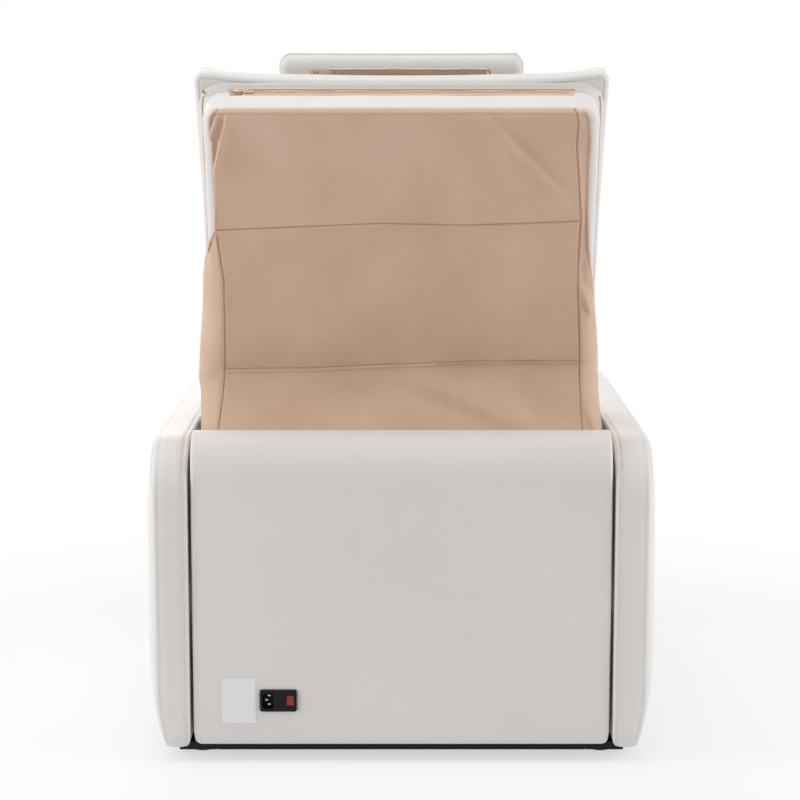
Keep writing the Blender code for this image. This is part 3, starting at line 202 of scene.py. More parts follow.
# Spun thread: matt, with a fibre's grain; it also draws lines of painted shade at the zips
THREAD_AND_SHADE_BEIGE = coated("beige_thread_and_painted_shade", ("#B98F73", "#A97F63"), 0.6, 0.5)
WHITE_THREAD = coated("white_polyester_thread", ("#DAD6D2", "#CFCAC5"), 0.6, 0.5)
# Pressed board and rubber: dark and dull, the rubber without any shine
BLACK_BOARD = coated("black_melamine_board", ("#1D1C1E", "#262527"), 0.5, 1.2, ior=1.3)
FOOT_RUBBER = coated("black_foot_rubber", ("#17171A", "#202022"), 0.75, 0.8)
# Baked powder: a satin skin with a fine orange peel
DARK_STEEL = coated("powder_coated_steel", ("#353638", "#3E3F42"), 0.42, 1.5, 0.12)
# Plated metal: bright, with slightly blurred reflections
BRIGHT_STEEL = coated("chromed_steel", ("#BFC2C6", "#AEB1B5"), 0.2, 0.5, 0.02, 1.0)
NICKEL = coated("nickel_plated_brass", ("#C9C6BE", "#B8B4AA"), 0.28, 0.3, 0.02, 1.0)
# Moulded plastics: a spark-eroded grain on black and grey, a polished face on the red rocker
BLACK_ABS = coated("black_moulded_abs", ("#0A090B", "#100F12"), 0.45, 0.5, 0.06, ior=1.3)
RED_PLASTIC = coated("red_polycarbonate", ("#A32A2A", "#94201F"), 0.25, 0.6, 0.02)
DARK_RED_PLASTIC = coated("dark_red_polycarbonate", ("#3A0A0D", "#2C0709"), 0.4, 0.6, 0.02, ior=1.3)
GREY_PLASTIC = coated("grey_moulded_nylon", ("#47494C", "#515356"), 0.5, 0.8, 0.08)
# Smooth film: flat and satin
PLATE_FILM = coated("white_polyester_film", ("#F2F2F3", "#ECECEE"), 0.36, 2.0, 0.02)
PLYWOOD = plywood("poplar_plywood", "#CDB084", "#B08F62")

CAD_FINISHES = {
    "plywood": PLYWOOD, "black_board": BLACK_BOARD, "dark_steel": DARK_STEEL, "bright_steel": BRIGHT_STEEL,
    "black_plastic": BLACK_ABS, "grey_plastic": GREY_PLASTIC, "red_plastic": RED_PLASTIC,
    "foot_rubber": FOOT_RUBBER, "plate_film": PLATE_FILM, "white_leather": WHITE_LEATHER,
    "beige_cloth": BEIGE_CLOTH, "zip_nylon": ZIP_NYLON, "zip_metal": ZIP_ENAMEL,
}
for subpart in frame["record"]["subparts"]:
    node = NODES[subpart["node"]]
    node.data.materials.clear()
    node.data.materials.append(CAD_FINISHES[subpart["material_slot"]])
for pin in ("line", "neutral", "earth"):
    NODES[f"inlet_pin_{pin}"].data.materials[0] = NICKEL


# Making of the pieces
def show(name, data):
    """Puts a mesh, a lamp or a camera into the scene."""
    made = bpy.data.objects.new(name, data)
    bpy.context.scene.collection.objects.link(made)
    return made


def new_piece(name, vertices, faces, finish, smooth=True):
    mesh = bpy.data.meshes.new(name)
    mesh.from_pydata([tuple(v) for v in vertices], [], faces)
    mesh.validate()
    mesh.materials.append(finish)
    if smooth:
        mesh.shade_smooth()
    return show(name, mesh)


def read(items, name, width=1, kind=float):
    """One property of a mesh's items, a number or a row of numbers for each."""
    flat = np.empty(len(items) * width, dtype=kind)
    items.foreach_get(name, flat)
    return flat.reshape(-1, width) if width > 1 else flat


def points_of(piece):
    return read(piece.data.vertices, "co", 3)


def set_points(piece, points):
    piece.data.vertices.foreach_set("co", np.asarray(points, dtype=float).ravel())
    piece.data.update()


def seams_of(piece):
    return read(piece.data.attributes["seam"].data, "value")


def mark_seams(piece, strength=0.0, name="seam"):
    """Stores how near each point lies to a seam or a hem, from 0 for not at all."""
    attribute = piece.data.attributes.get(name) or piece.data.attributes.new(name, "FLOAT", "POINT")
    attribute.data.foreach_set("value", np.full(len(piece.data.vertices), strength, dtype=np.float32))


def apply_modifiers(piece):
    """Turns the piece with its modifiers into a plain mesh."""
    evaluated = piece.evaluated_get(bpy.context.evaluated_depsgraph_get())
    made = bpy.data.meshes.new_from_object(evaluated)
    piece.modifiers.clear()
    old = piece.data
    piece.data = made
    made.name = old.name
    bpy.data.meshes.remove(old)


def modify(piece, kind, **settings):
    """Runs one modifier on the piece and keeps what it makes."""
    step = piece.modifiers.new(kind.lower(), kind)
    for name, value in settings.items():
        setattr(step, name, value)
    apply_modifiers(piece)


def stations(half, corner, corner_cells, middle_cells):
    inner = half - corner
    low = np.linspace(-half, -inner, corner_cells + 1)[:-1]
    middle = np.linspace(-inner, inner, middle_cells + 1)
    return np.concatenate([low, middle, -low[::-1]])


def rounded_grid(half_width, half_height, radii, cells, pull=(0.0, 0.0)):
    """An even grid in a rectangle with rounded low and high corners and sides pulled in between them."""
    corner_cells, wide_cells, tall_cells = cells
    xs = stations(half_width, max(radii), corner_cells, wide_cells)
    ys = stations(half_height, max(radii), corner_cells, tall_cells)
    x, y = np.meshgrid(xs, ys)
    radius = np.where(y < 0, *radii)
    p = np.clip((np.abs(x) - (half_width - radius)) / radius, 0, None)
    q = np.clip((np.abs(y) - (half_height - radius)) / radius, 0, None)
    inside = (p > 1e-9) & (q > 1e-9)
    small = np.minimum(p, q)
    large = np.maximum(np.maximum(p, q), 1e-9)
    angle = np.where(p >= q, math.pi / 4 * small / large, math.pi / 2 - math.pi / 4 * small / large)
    bent_x = np.sign(x) * (half_width - radius + radius * large * np.cos(angle))
    bent_y = np.sign(y) * (half_height - radius + radius * large * np.sin(angle))
    x = np.where(inside, bent_x, x)
    y = np.where(inside, bent_y, y)
    across, along = x / half_width, y / half_height
    return x - pull[0] * across * (1 - along ** 2), y - pull[1] * along * (1 - across ** 2)


def rim_of(grid):
    """The grid's rim, counter-clockwise from its first corner."""
    return np.concatenate([grid[0, :-1], grid[:-1, -1], grid[-1, :0:-1], grid[:0:-1, 0]])


def ring_at(height, grid):
    """The rim of a grid's (x, y) places, as points at one height."""
    x, y = (rim_of(places) for places in grid)
    return np.stack([x, y, np.full(len(x), height)], -1)


def quads(index):
    return [tuple(int(v) for v in (index[r, c], index[r, c + 1], index[r + 1, c + 1], index[r + 1, c]))
            for r in range(index.shape[0] - 1) for c in range(index.shape[1] - 1)]


def strip(ring, after):
    count = len(ring)
    return [(int(ring[i]), int(ring[(i + 1) % count]), int(after[(i + 1) % count]), int(after[i]))
            for i in range(count)]


def pad(name, half_size, radii, profile, cells, crown=None, pull=(0.0, 0.0), seams=()):
    """A leather cover: two gridded faces joined by rings that follow the profile of (inset, height) pairs.

    Seams are the places in the profile where the cover is sewn.
    """
    half_width, half_height = half_size

    def grid(inset):
        rounding = [max(radius - inset, 0.002) for radius in radii]
        return rounded_grid(half_width - inset, half_height - inset, rounding, cells, pull)

    x, y = grid(profile[0][0])
    count = x.size
    index = np.arange(count).reshape(x.shape)
    vertices = [np.stack([x, y, np.full(x.shape, profile[0][1])], -1).reshape(-1, 3)]
    sewn = [np.zeros(count)]
    faces = [(a, d, c, b) for a, b, c, d in quads(index)]
    ring, total = rim_of(index), count
    for place, (inset, height) in enumerate(profile[1:-1], 1):
        vertices.append(ring_at(height, grid(inset)))
        sewn.append(np.full(len(ring), float(place in seams)))
        after = np.arange(total, total + len(ring))
        faces += strip(ring, after)
        ring, total = after, total + len(ring)
    x, y = grid(profile[-1][0])
    high = np.full(x.shape, profile[-1][1])
    if crown:
        high = high + crown(x / half_width, y / half_height)
    vertices.append(np.stack([x, y, high], -1).reshape(-1, 3))
    faces += strip(ring, rim_of(index + total)) + quads(index + total)
    piece = new_piece(name, np.concatenate(vertices), faces, WHITE_LEATHER)
    mark_seams(piece, np.concatenate(sewn + [np.zeros(count)]))
    return piece


def quarter(inset, height, radius, rising, steps=5):
    """Profile points of a rounded edge: rising from a low face, or closing on a high one."""
    points = []
    for i in range(steps + 1):
        turn = math.pi / 2 * i / steps
        from_sine, from_cosine = radius * (1 - math.sin(turn)), radius * (1 - math.cos(turn))
        points.append((inset + from_sine, height + from_cosine) if rising
                      else (inset + from_cosine, height - from_sine))
    return points


def bulge(height, power=3.0):
    """A crown that dies away towards the rim."""
    return lambda u, v: height * (1 - np.abs(u).clip(0, 1) ** power) * (1 - np.abs(v).clip(0, 1) ** power)


def settle(piece, matrix):
    piece.data.transform(matrix)
    piece.data.update()


# Stuffing: a slack, light leather cloth, its air pressure, and the steps until it stands still
COVER_CLOTH = {"quality": 5, "mass": 0.4, "tension_stiffness": 12.0, "compression_stiffness": 12.0,
               "shear_stiffness": 6.0, "bending_stiffness": 0.4, "use_pressure": True,
               "uniform_pressure_force": 4.0, "vertex_group_mass": "sewn"}
STUFFING_STEPS = 20


def stuff(piece, sewn, cap):
    """Blows the cover up from inside as its stuffing does, held where it is sewn or lies on its board."""
    rest = points_of(piece)
    held = piece.vertex_groups.new(name="sewn")
    held.add([int(i) for i in np.flatnonzero(sewn)], 1.0, "REPLACE")
    cloth = piece.modifiers.new("stuffing", "CLOTH").settings
    for name, value in COVER_CLOTH.items():
        setattr(cloth, name, value)
    cloth.effector_weights.gravity = 0.0
    for step in range(1, STUFFING_STEPS + 1):
        bpy.context.scene.frame_set(step)
    evaluated = piece.evaluated_get(bpy.context.evaluated_depsgraph_get())
    moved = read(evaluated.data.vertices, "co", 3) - rest
    length = np.linalg.norm(moved, axis=1, keepdims=True)
    moved *= np.minimum(1.0, cap / np.maximum(length, 1e-9))
    piece.modifiers.clear()
    piece.vertex_groups.clear()
    bpy.context.scene.frame_set(1)
    set_points(piece, rest + moved)


def ripple(piece, mask, height, size, seed):
    """Moves the surface in and out in soft irregular waves where the mask allows it."""
    points, normals = points_of(piece), read(piece.data.vertex_normals, "vector", 3)
    offset = Vector((seed * 3.1, seed * 1.7, seed * 0.9))
    waves = np.array([noise.noise(Vector(p) / size + offset) for p in points])
    set_points(piece, points + normals * (waves * height * mask)[:, None])


def shell(name, rings, finish, ends="flat", smooth=True, turned=False):
    """A skin over rings of points; its ends are flat, fanned round a middle point, or joined together."""
    vertices = [tuple(point) for ring in rings for point in ring]
    index = np.arange(len(vertices)).reshape(len(rings), -1)
    after = np.roll(index, -1, axis=0)
    faces = []
    for i in range(len(rings) - (ends != "joined")):
        faces += strip(index[i], after[i])
    for ring in () if ends == "joined" else (index[0][::-1], index[-1]):
        if ends == "flat":
            faces.append(tuple(int(v) for v in ring))
        else:
            faces += [(int(a), int(b), len(vertices)) for a, b in zip(ring, np.roll(ring, -1))]
            vertices.append(tuple(np.mean([vertices[v] for v in ring], axis=0)))
    if turned:
        faces = [face[::-1] for face in faces]
    return new_piece(name, vertices, faces, finish, smooth)


def tube(name, path, radius, finish, sides=8, ends="flat"):
    """A round cord laid along the path."""
    path = [Vector(p) for p in path]
    count, closed = len(path), ends == "joined"
    turns = [2 * math.pi * k / sides for k in range(sides)]
    rings, side = [], None
    for i, point in enumerate(path):
        before = path[i - 1] if i or closed else point
        after = path[(i + 1) % count] if i + 1 < count or closed else point
        run = (after - before).normalized()
        side = run.orthogonal() if side is None else side - run * side.dot(run)
        side.normalize()
        other = run.cross(side)
        rings.append([point + radius * (side * math.cos(t) + other * math.sin(t)) for t in turns])
    return shell(name, rings, finish, ends)


def join(name, pieces):
    """Joins meshes into one piece and keeps each one's finish."""
    made = bmesh.new()
    finishes = []
    for piece in pieces:
        first = len(made.faces)
        made.from_mesh(piece.data)
        made.faces.ensure_lookup_table()
        finish = next(slot for slot in piece.data.materials if slot)
        if finish not in finishes:
            finishes.append(finish)
        for face in made.faces[first:]:
            face.material_index = finishes.index(finish)
    mesh = bpy.data.meshes.new(name)
    made.to_mesh(mesh)
    made.free()
    for finish in finishes:
        mesh.materials.append(finish)
    for piece in pieces:
        old = piece.data
        bpy.data.objects.remove(piece)
        bpy.data.meshes.remove(old)
    return show(name, mesh)


def row_tree():
    """Lays one small rounded bead after another along a line: stitches along it, zip teeth across it."""
    tree = bpy.data.node_groups.new("bead_row", "GeometryNodeTree")
    sockets = {"Line": "NodeSocketGeometry", "Pitch": "NodeSocketFloat", "Bead Size": "NodeSocketVector",
               "Upward": "NodeSocketVector", "Finish": "NodeSocketMaterial"}
    for label, kind in sockets.items():
        tree.interface.new_socket(label, in_out="INPUT", socket_type=kind)
    tree.interface.new_socket("Row", in_out="OUTPUT", socket_type="NodeSocketGeometry")
    given = add(tree, "NodeGroupInput").outputs
    line = add(tree, "GeometryNodeMeshToCurve", {"Mesh": given["Line"]})
    spaced = add(tree, "GeometryNodeResampleCurve", {"Curve": line, "Length": given["Pitch"]}, mode="LENGTH")
    run = add(tree, "GeometryNodeInputTangent")
    along = add(tree, "FunctionNodeAlignRotationToVector", {"Vector": run}, axis="X")
    upright = add(tree, "FunctionNodeAlignRotationToVector", {"Rotation": along, "Vector": given["Upward"]},
                  axis="Z", pivot_axis="X")
    bead = add(tree, "GeometryNodeMeshUVSphere", {"Segments": 6, "Rings": 4, "Radius": 0.5})
    sized = add(tree, "GeometryNodeTransform", {"Geometry": bead, "Scale": given["Bead Size"]})
    placed = add(tree, "GeometryNodeInstanceOnPoints",
                 {"Points": spaced, "Instance": sized, "Rotation": upright})
    real = add(tree, "GeometryNodeRealizeInstances", {"Geometry": placed})
    smooth = add(tree, "GeometryNodeSetShadeSmooth", {0: real})
    done = add(tree, "GeometryNodeSetMaterial", {"Geometry": smooth, "Material": given["Finish"]})
    add(tree, "NodeGroupOutput", {"Row": done})
    return tree


ROW_TREE = row_tree()
ROW_INPUTS = {item.name: item.identifier for item in ROW_TREE.interface.items_tree if item.in_out == "INPUT"}


def bead_rows(name, lines, pitch, size, upward, finish):
    """Rows of beads along several open lines, as one piece."""
    vertices, edges = [], []
    for line in lines:
        first = len(vertices)
        vertices += [tuple(p) for p in line]
        edges += [(first + i, first + i + 1) for i in range(len(line) - 1)]
    mesh = bpy.data.meshes.new(name)
    mesh.from_pydata(vertices, edges, [])
    piece = show(name, mesh)
    step = piece.modifiers.new("row", "NODES")
    step.node_group = ROW_TREE
    for label, value in (("Pitch", pitch), ("Bead Size", size), ("Upward", upward), ("Finish", finish)):
        step[ROW_INPUTS[label]] = value
    apply_modifiers(piece)
    return piece


def near(value, place, width):
    """1 at the place, dying away over the width."""
    return np.exp(-((value - place) / width) ** 2)


def ramp(value, start, end):
    share = np.clip((value - start) / (end - start), 0.0, 1.0)
    return share * share * (3 - 2 * share)


def finish_piece(piece, body, slot, *nodes, place=None, fill=None):
    """Sets a finished piece in its place, hangs it on its body and lets it stand for the nodes it covers."""
    if place is not None:
        settle(piece, place)
    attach(piece, body)
    if nodes:
        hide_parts(*nodes)


# Arms: a gusset sewn between the inner cover and the full outer cover
ARM_SEAMS, ARM_SEAM_DEPTHS = (0.0067, 0.0447), (0.0008, 0.0003)
ARM_FULL, ARM_SLACK = ARM_GUSSET + ARM_CROWN, 0.0012
ARM_HALF = (ARM_REACH - ARM_SLACK, (ARM_TOP - ARM_BOTTOM) / 2 - ARM_SLACK)
ARM_RADII, ARM_CELLS = (0.022, 0.085), (10, 44, 22)
# Share by which the arm narrows towards the floor, inset of its rounded tongue, and the height of each
ARM_NARROWING, TONGUE_INSET = (0.32, 0.100), (0.011, 0.022)
# Section of a sewn groove: places beside the seam, and shares of its depth there
GROOVE = ((-0.0014, 0.0), (-0.0005, 0.7), (0.0, 1.0), (0.0005, 0.7), (0.0014, 0.0))
# Stitches of 3 mm and 4 mm apart, drawn a little thick so that they show
STITCH_PITCH, STITCH_SIZE = 0.0040, (0.0030, 0.0010, 0.0010)


def narrowed(points):
    """Towards the floor the arm's cover narrows from outside and ends in a rounded tongue."""
    rise = points[:, 1] + (ARM_TOP - ARM_BOTTOM) / 2
    kept = 1 - ARM_NARROWING[0] * (1 - (rise / ARM_NARROWING[1]).clip(0, 1)) ** 2
    inset = TONGUE_INSET[0] * (1 - np.sqrt(1 - (1 - (rise / TONGUE_INSET[1]).clip(0, 1)) ** 2))
    points[:, 2] = inset + (ARM_FULL * kept - inset) * points[:, 2] / ARM_FULL
    return points


def arm_stitches(name):
    """A row of stitches beside the inner seam, along the front, the top and the rear."""
    proud, beside, above_floor = 0.0006, 0.0036, 0.012
    grid = rounded_grid(ARM_HALF[0] + proud, ARM_HALF[1] + proud, ARM_RADII, ARM_CELLS)
    rim = ring_at(ARM_SEAMS[0] + beside, grid)
    # The ring starts at a lower corner, so that what is kept of it is one run
    rim = np.roll(rim, -int(np.argmin(rim[:, 1] - 0.001 * rim[:, 0])), axis=0)
    rim = narrowed(rim[rim[:, 1] > -ARM_HALF[1] + above_floor])
    return bead_rows(name, [rim], STITCH_PITCH, STITCH_SIZE, (0.0, 0.0, 1.0), WHITE_THREAD)


def arm_cover(name, seed):
    profile = quarter(0.0, 0.0, 0.005, True)
    for seam, depth in zip(ARM_SEAMS, ARM_SEAM_DEPTHS):
        profile += [(depth * share, seam + aside) for aside, share in GROOVE]
        if seam == ARM_SEAMS[0]:
            profile += [(-ARM_SLACK, seam + t * (ARM_SEAMS[1] - seam)) for t in (0.15, 0.35, 0.5, 0.65, 0.85)]
    profile += quarter(0.0, ARM_GUSSET, 0.0055, False)
    sewn = [i for i, (inset, _) in enumerate(profile) if inset == ARM_SEAM_DEPTHS[0]]
    piece = pad(name, ARM_HALF, ARM_RADII, profile, ARM_CELLS, bulge(ARM_CROWN, 5), seams=sewn)
    outer = ramp(points_of(piece)[:, 2], 0.05, 0.07)
    ripple(piece, outer, 0.0009, 0.09, seed)
    set_points(piece, narrowed(points_of(piece)))
    return piece


for side, facing, middle in (("left", FACING_LEFT, HALF_BAY), ("right", FACING_RIGHT, -HALF_BAY)):
    arm_place = Matrix.Translation((middle, 0.0, (ARM_TOP + ARM_BOTTOM) / 2)) @ facing
    finish_piece(arm_cover(f"arm_cover_{side}", middle * 10), "base", "white_leather", f"arm_pad_{side}",
                 place=arm_place, fill=0.9)
    finish_piece(arm_stitches(f"arm_stitches_{side}"), "base", "white_leather", place=arm_place)

# Rear panel: leather drawn over foam and rolled over the top
PANEL_HALF, PANEL_BOTTOM, PANEL_TOP = 0.325, 0.028, 0.520
PANEL_INNER, PANEL_FACE = 0.3925, 0.4445
PANEL_ROLL, PANEL_FOOT, PANEL_LIP = (0.046, 0.066), 0.007, 0.006
PANEL_EDGE, PANEL_FULLNESS, PANEL_CORNER = 0.0055, 0.0022, (0.010, 0.020)
PANEL_STITCH_INSET = 0.0075
INLET_PLACE, INLET_OPENING, INLET_DEPTH = (0.192, 0.100), (0.0266, 0.0156), 0.029
# How far a cutter reaches past the face that it cuts
PAST = 0.01


def arc_points(centre, radii, start, end, steps):
    wide, high = np.broadcast_to(radii, 2)
    angles = np.linspace(start, end, steps + 1)
    return [(centre[0] + wide * math.cos(t), centre[1] + high * math.sin(t)) for t in angles]


def filled(points, longest):
    """Adds points on a closed outline's long sides, so that no side is longer than that."""
    full = []
    for i, point in enumerate(points):
        after = points[(i + 1) % len(points)]
        count = max(1, math.ceil(math.dist(point, after) / longest))
        full += [tuple(np.array(point) + (np.array(after) - point) * k / count) for k in range(count)]
    return np.array(full)


def loft(name, outline, half_width, edge, cells, finish):
    """A padded panel: one (depth, height) outline run across the chair and rounded in at both ends."""
    sides = np.roll(outline, -1, 0) - outline
    sides /= np.linalg.norm(sides, axis=1, keepdims=True)
    turned = np.stack([sides[:, 1], -sides[:, 0]], 1)
    outward = turned + np.roll(turned, 1, 0)
    outward /= np.linalg.norm(outward, axis=1, keepdims=True)
    closing = [(inset, half_width - edge + (height - edge))
               for inset, height in quarter(0.0, 2 * edge, edge, False, 5)]
    opening_end = [(inset, -x) for inset, x in reversed(closing)]
    middle = [(0.0, x) for x in np.linspace(-half_width + edge, half_width - edge, cells + 1)[1:-1]]
    rings = [[(x, y, z) for y, z in outline - outward * inset] for inset, x in opening_end + middle + closing]
    return shell(name, rings, finish, "fanned")


def combine(piece, tool, operation):
    modify(piece, "BOOLEAN", object=tool, operation=operation, solver="EXACT")
    bpy.data.objects.remove(tool)


def slab(name, outline, rear, front, finish):
    """A flat block between two depths, from an outline of (across, up) places run counter-clockwise."""
    piece = shell(name, [[(x, y, z) for x, z in outline] for y in (rear, front)], finish, smooth=False)
    if rear < front:
        piece.data.flip_normals()
    return piece


def rectangle(middle, half, radius=0.0):
    """The outline of a rectangle, counter-clockwise, with rounded corners if it has a radius."""
    corners = ((1, 1, 0), (-1, 1, 1), (-1, -1, 2), (1, -1, 3))
    inner = [h - radius for h in half]
    if not radius:
        return [(middle[0] + x * half[0], middle[1] + z * half[1]) for x, z, _ in corners]
    return [place for x, z, turn in corners
            for place in arc_points((middle[0] + x * inner[0], middle[1] + z * inner[1]), radius,
                                    turn * math.pi / 2, (turn + 1) * math.pi / 2, 6)]


def opening(piece, low, high):
    """Cuts a box-shaped opening through the piece."""
    middle, half = [[(b + s * a) / 2 for a, b in zip(low, high)] for s in (1, -1)]
    outline = rectangle((middle[0], middle[2]), (half[0], half[2]))
    combine(piece, slab("opening", outline, low[1], high[1], piece.data.materials[0]), "DIFFERENCE")


def rear_panel_cover():
    foot, lip, right = PANEL_FOOT, PANEL_LIP, math.pi / 2
    outline = arc_points((PANEL_INNER + foot, PANEL_BOTTOM + foot), foot, 2 * right, 3 * right, 4)
    outline += arc_points((PANEL_FACE - foot, PANEL_BOTTOM + foot), foot, 3 * right, 4 * right, 4)
    roll_centre = (PANEL_FACE - PANEL_ROLL[0], PANEL_TOP - PANEL_ROLL[1])
    outline += arc_points(roll_centre, PANEL_ROLL, 0.0, right, 18)[:-1]
    outline += arc_points((PANEL_INNER + lip, PANEL_TOP - lip), lip, right, 2 * right, 4)
    piece = loft("rear_panel_cover", filled(outline, 0.012), PANEL_HALF, PANEL_EDGE, 54, WHITE_LEATHER)
    points = points_of(piece)
    # The foam stands a little fuller in the upper half, clear of the inlet and the plate
    face = ramp(points[:, 1], PANEL_FACE - 0.012, PANEL_FACE - 0.002) * ramp(points[:, 2], 0.17, 0.32)
    face *= 1 - (np.abs(points[:, 0]) / PANEL_HALF).clip(0, 1) ** 4
    points[:, 1] += PANEL_FULLNESS * face
    # The lower corners are rounded
    low = 1 - ((points[:, 2] - PANEL_BOTTOM) / PANEL_CORNER[1]).clip(0, 1)
    points[:, 0] *= 1 - PANEL_CORNER[0] / PANEL_HALF * (1 - np.sqrt(1 - low ** 2))
    set_points(piece, points)
    outer = ramp(points[:, 1], PANEL_INNER + 0.02, PANEL_FACE) * ramp(points[:, 2], 0.15, 0.25)
    ripple(piece, outer, 0.0007, 0.11, 4.0)
    (x, z), (wide, high) = INLET_PLACE, INLET_OPENING
    opening(piece, (x - wide, PANEL_FACE - INLET_DEPTH, z - high), (x + wide, PANEL_FACE + PAST, z + high))
    mark_seams(piece)
    return piece


def panel_stitches():
    """A row of stitches down each side of the panel's face."""
    heights = np.linspace(PANEL_BOTTOM + 0.030, PANEL_TOP - PANEL_ROLL[1], 60)
    rows = [[(side * (PANEL_HALF - PANEL_STITCH_INSET), PANEL_FACE + 0.0001, z) for z in heights]
            for side in (1.0, -1.0)]
    return bead_rows("rear_panel_stitches", rows, STITCH_PITCH, STITCH_SIZE, (0.0, 1.0, 0.0), WHITE_THREAD)


finish_piece(rear_panel_cover(), "base", "white_leather", "rear_panel_pad", fill=0.9)
finish_piece(panel_stitches(), "base", "white_leather")


# Mains inlet: a bezel with a keyed socket, and a dark red frame round the rocker
SOCKET_X, ROCKER_X, INLET_Z = INLET_PLACE[0] + 0.0165, INLET_PLACE[0] - 0.0185, INLET_PLACE[1]
BEZEL_HALF, BEZEL_CORNER, BEZEL_FRONT, BEZEL_BACK = (0.0285, 0.0175), 0.0032, 0.4473, 0.4448
HOUSING_HALF, HOUSING_DEPTH = (0.026, 0.015), 0.0285
SOCKET_HALF, SOCKET_FLOOR, KEY_CUT = (0.0085, 0.0130), 0.4293, 0.0045
COLLAR_GROWTH, COLLAR_RISE = 1.12, 0.0006
POCKET_HALF, POCKET_FLOOR, POCKET_FRAME = (0.0063, 0.0083), 0.4340, 0.0011
# How far moulded bodies reach into each other where they are one
MERGED = 0.001


def inlet_cover():
    bezel = slab("inlet_bezel", rectangle(INLET_PLACE, BEZEL_HALF, BEZEL_CORNER), BEZEL_BACK, BEZEL_FRONT,
                 BLACK_ABS)
    modify(bezel, "BEVEL", width=0.0007, segments=3, limit_method="ANGLE")
    combine(bezel, slab("inlet_body", rectangle(INLET_PLACE, HOUSING_HALF), BEZEL_FRONT - HOUSING_DEPTH,
                        BEZEL_BACK + MERGED, BLACK_ABS), "UNION")
    # A low collar stands round the socket, whose corners are cut off on the earth pin's side
    wide, high = SOCKET_HALF
    keyed = [(wide, high - KEY_CUT), (wide - KEY_CUT, high), (-wide, high), (-wide, -high),
             (wide - KEY_CUT, -high), (wide, KEY_CUT - high)]
    for grown, back, front, operation in (
            (COLLAR_GROWTH, BEZEL_BACK + MERGED, BEZEL_FRONT + COLLAR_RISE, "UNION"),
            (1.0, SOCKET_FLOOR, BEZEL_FRONT + PAST, "DIFFERENCE")):
        outline = [(SOCKET_X + x * grown, INLET_Z + z * grown) for x, z in keyed]
        combine(bezel, slab("socket", outline, back, front, BLACK_ABS), operation)
    rocker = (ROCKER_X, INLET_Z)
    frame_half = [half + POCKET_FRAME for half in POCKET_HALF]
    rim = slab("rocker_frame", rectangle(rocker, frame_half, 0.0008), BEZEL_FRONT - 0.0002,
               BEZEL_FRONT + 0.0005, DARK_RED_PLASTIC)
    for moulding, finish in ((bezel, BLACK_ABS), (rim, DARK_RED_PLASTIC)):
        pocket = slab("pocket", rectangle(rocker, POCKET_HALF), POCKET_FLOOR, BEZEL_FRONT + PAST, finish)
        combine(moulding, pocket, "DIFFERENCE")
    return join("inlet_housing_moulding", [bezel, rim])


finish_piece(inlet_cover(), "base", "black_plastic", "inlet_housing")


# Cushions: sewn covers blown up by their stuffing
FRONT_PAD_HALF, BOX_HALF = (0.323, 0.335), (0.302, 0.308)
PILLOW_PLACE = BACK @ Matrix.Translation((0.0, -0.0866, 0.4945)) @ FACING_FRONT
PILLOW_HALF, PILLOW_RADIUS, PILLOW_CELLS = (0.192, 0.1225), 0.018, (5, 24, 14)
PILLOW_PULL, PILLOW_SEAM, PILLOW_RISE = (0.003, 0.0008), 0.0164, 0.0040
# Groove of the pillow's zip: half length, height up the pillow, half width and depth
ZIP_GROOVE = (0.1403, 0.0995, 0.0049, 0.0044)


def cushion(name, half_size, radius, profile, seams, cells, crown, pull, cap):
    """A cover that starts a little slack and is blown up; its flat low face and its seams stay in place."""
    piece = pad(name, half_size, (radius, radius), profile, cells, bulge(crown), pull, seams)
    stuff(piece, (points_of(piece)[:, 2] < 0.002) | (seams_of(piece) > 0.5), cap)
    modify(piece, "SUBSURF", levels=1, render_levels=1)
    return piece


def piped(low_inset, thickness, low_edge, high_edge, seam_height):
    """Profile of a cushion whose face and border meet in a sewn groove, and the place of that seam."""
    profile = [(low_inset + low_edge, 0.0)] + quarter(0.0, 0.0, low_edge, True, 4)
    profile += [(0.0, seam_height - 0.002), (0.0026, seam_height), (0.0, seam_height + 0.002)]
    profile += quarter(0.0, thickness, high_edge, False, 6)
    return profile, [i for i, (_, height) in enumerate(profile) if height == seam_height]


def front_pad_cover():
    # Seen from behind, the border's seam runs about 9 mm in from the edge
    profile = [(0.0100, 0.0), (0.0092, 0.0008), (0.0086, 0.0016), (0.0080, 0.0008)]
    profile += quarter(0.0, 0.0, 0.0075, True, 4) + [(0.0, 0.0225), (0.0026, 0.0245), (0.0, 0.0265)]
    profile += quarter(0.0, 0.053, 0.018, False, 6)
    piece = cushion("back_front_cover", FRONT_PAD_HALF, 0.018, profile, (2, 11), (4, 30, 30), 0.008,
                    (0.009, 0.009), 0.005)
    # The upper corners stand a little higher than the middle
    points = points_of(piece)
    corner = near(np.abs(points[:, 0]), FRONT_PAD_HALF[0], 0.060) * ramp(points[:, 1], 0.24, 0.33)
    points[:, 1] += 0.0060 * corner
    set_points(piece, points)
    return piece


def box_cover():
    profile = quarter(0.0, 0.0, 0.010, True, 5) + quarter(0.0, 0.0627, 0.014, False, 6)
    piece = pad("back_box_cover", BOX_HALF, (0.024, 0.024), profile, (6, 40, 40))
    rim = (np.abs(points_of(piece)[:, :2]) / BOX_HALF).max(axis=1)
    ripple(piece, ramp(rim, 0.9, 0.98), 0.0008, 0.05, 7.0)
    return piece


def raised(points):
    """The pillow's upper edge stands a little higher than its frame."""
    points[:, 1] += PILLOW_RISE * ramp(points[:, 1], 0.106, 0.122) * ramp(points[:, 2], 0.0, 0.02)
    return points


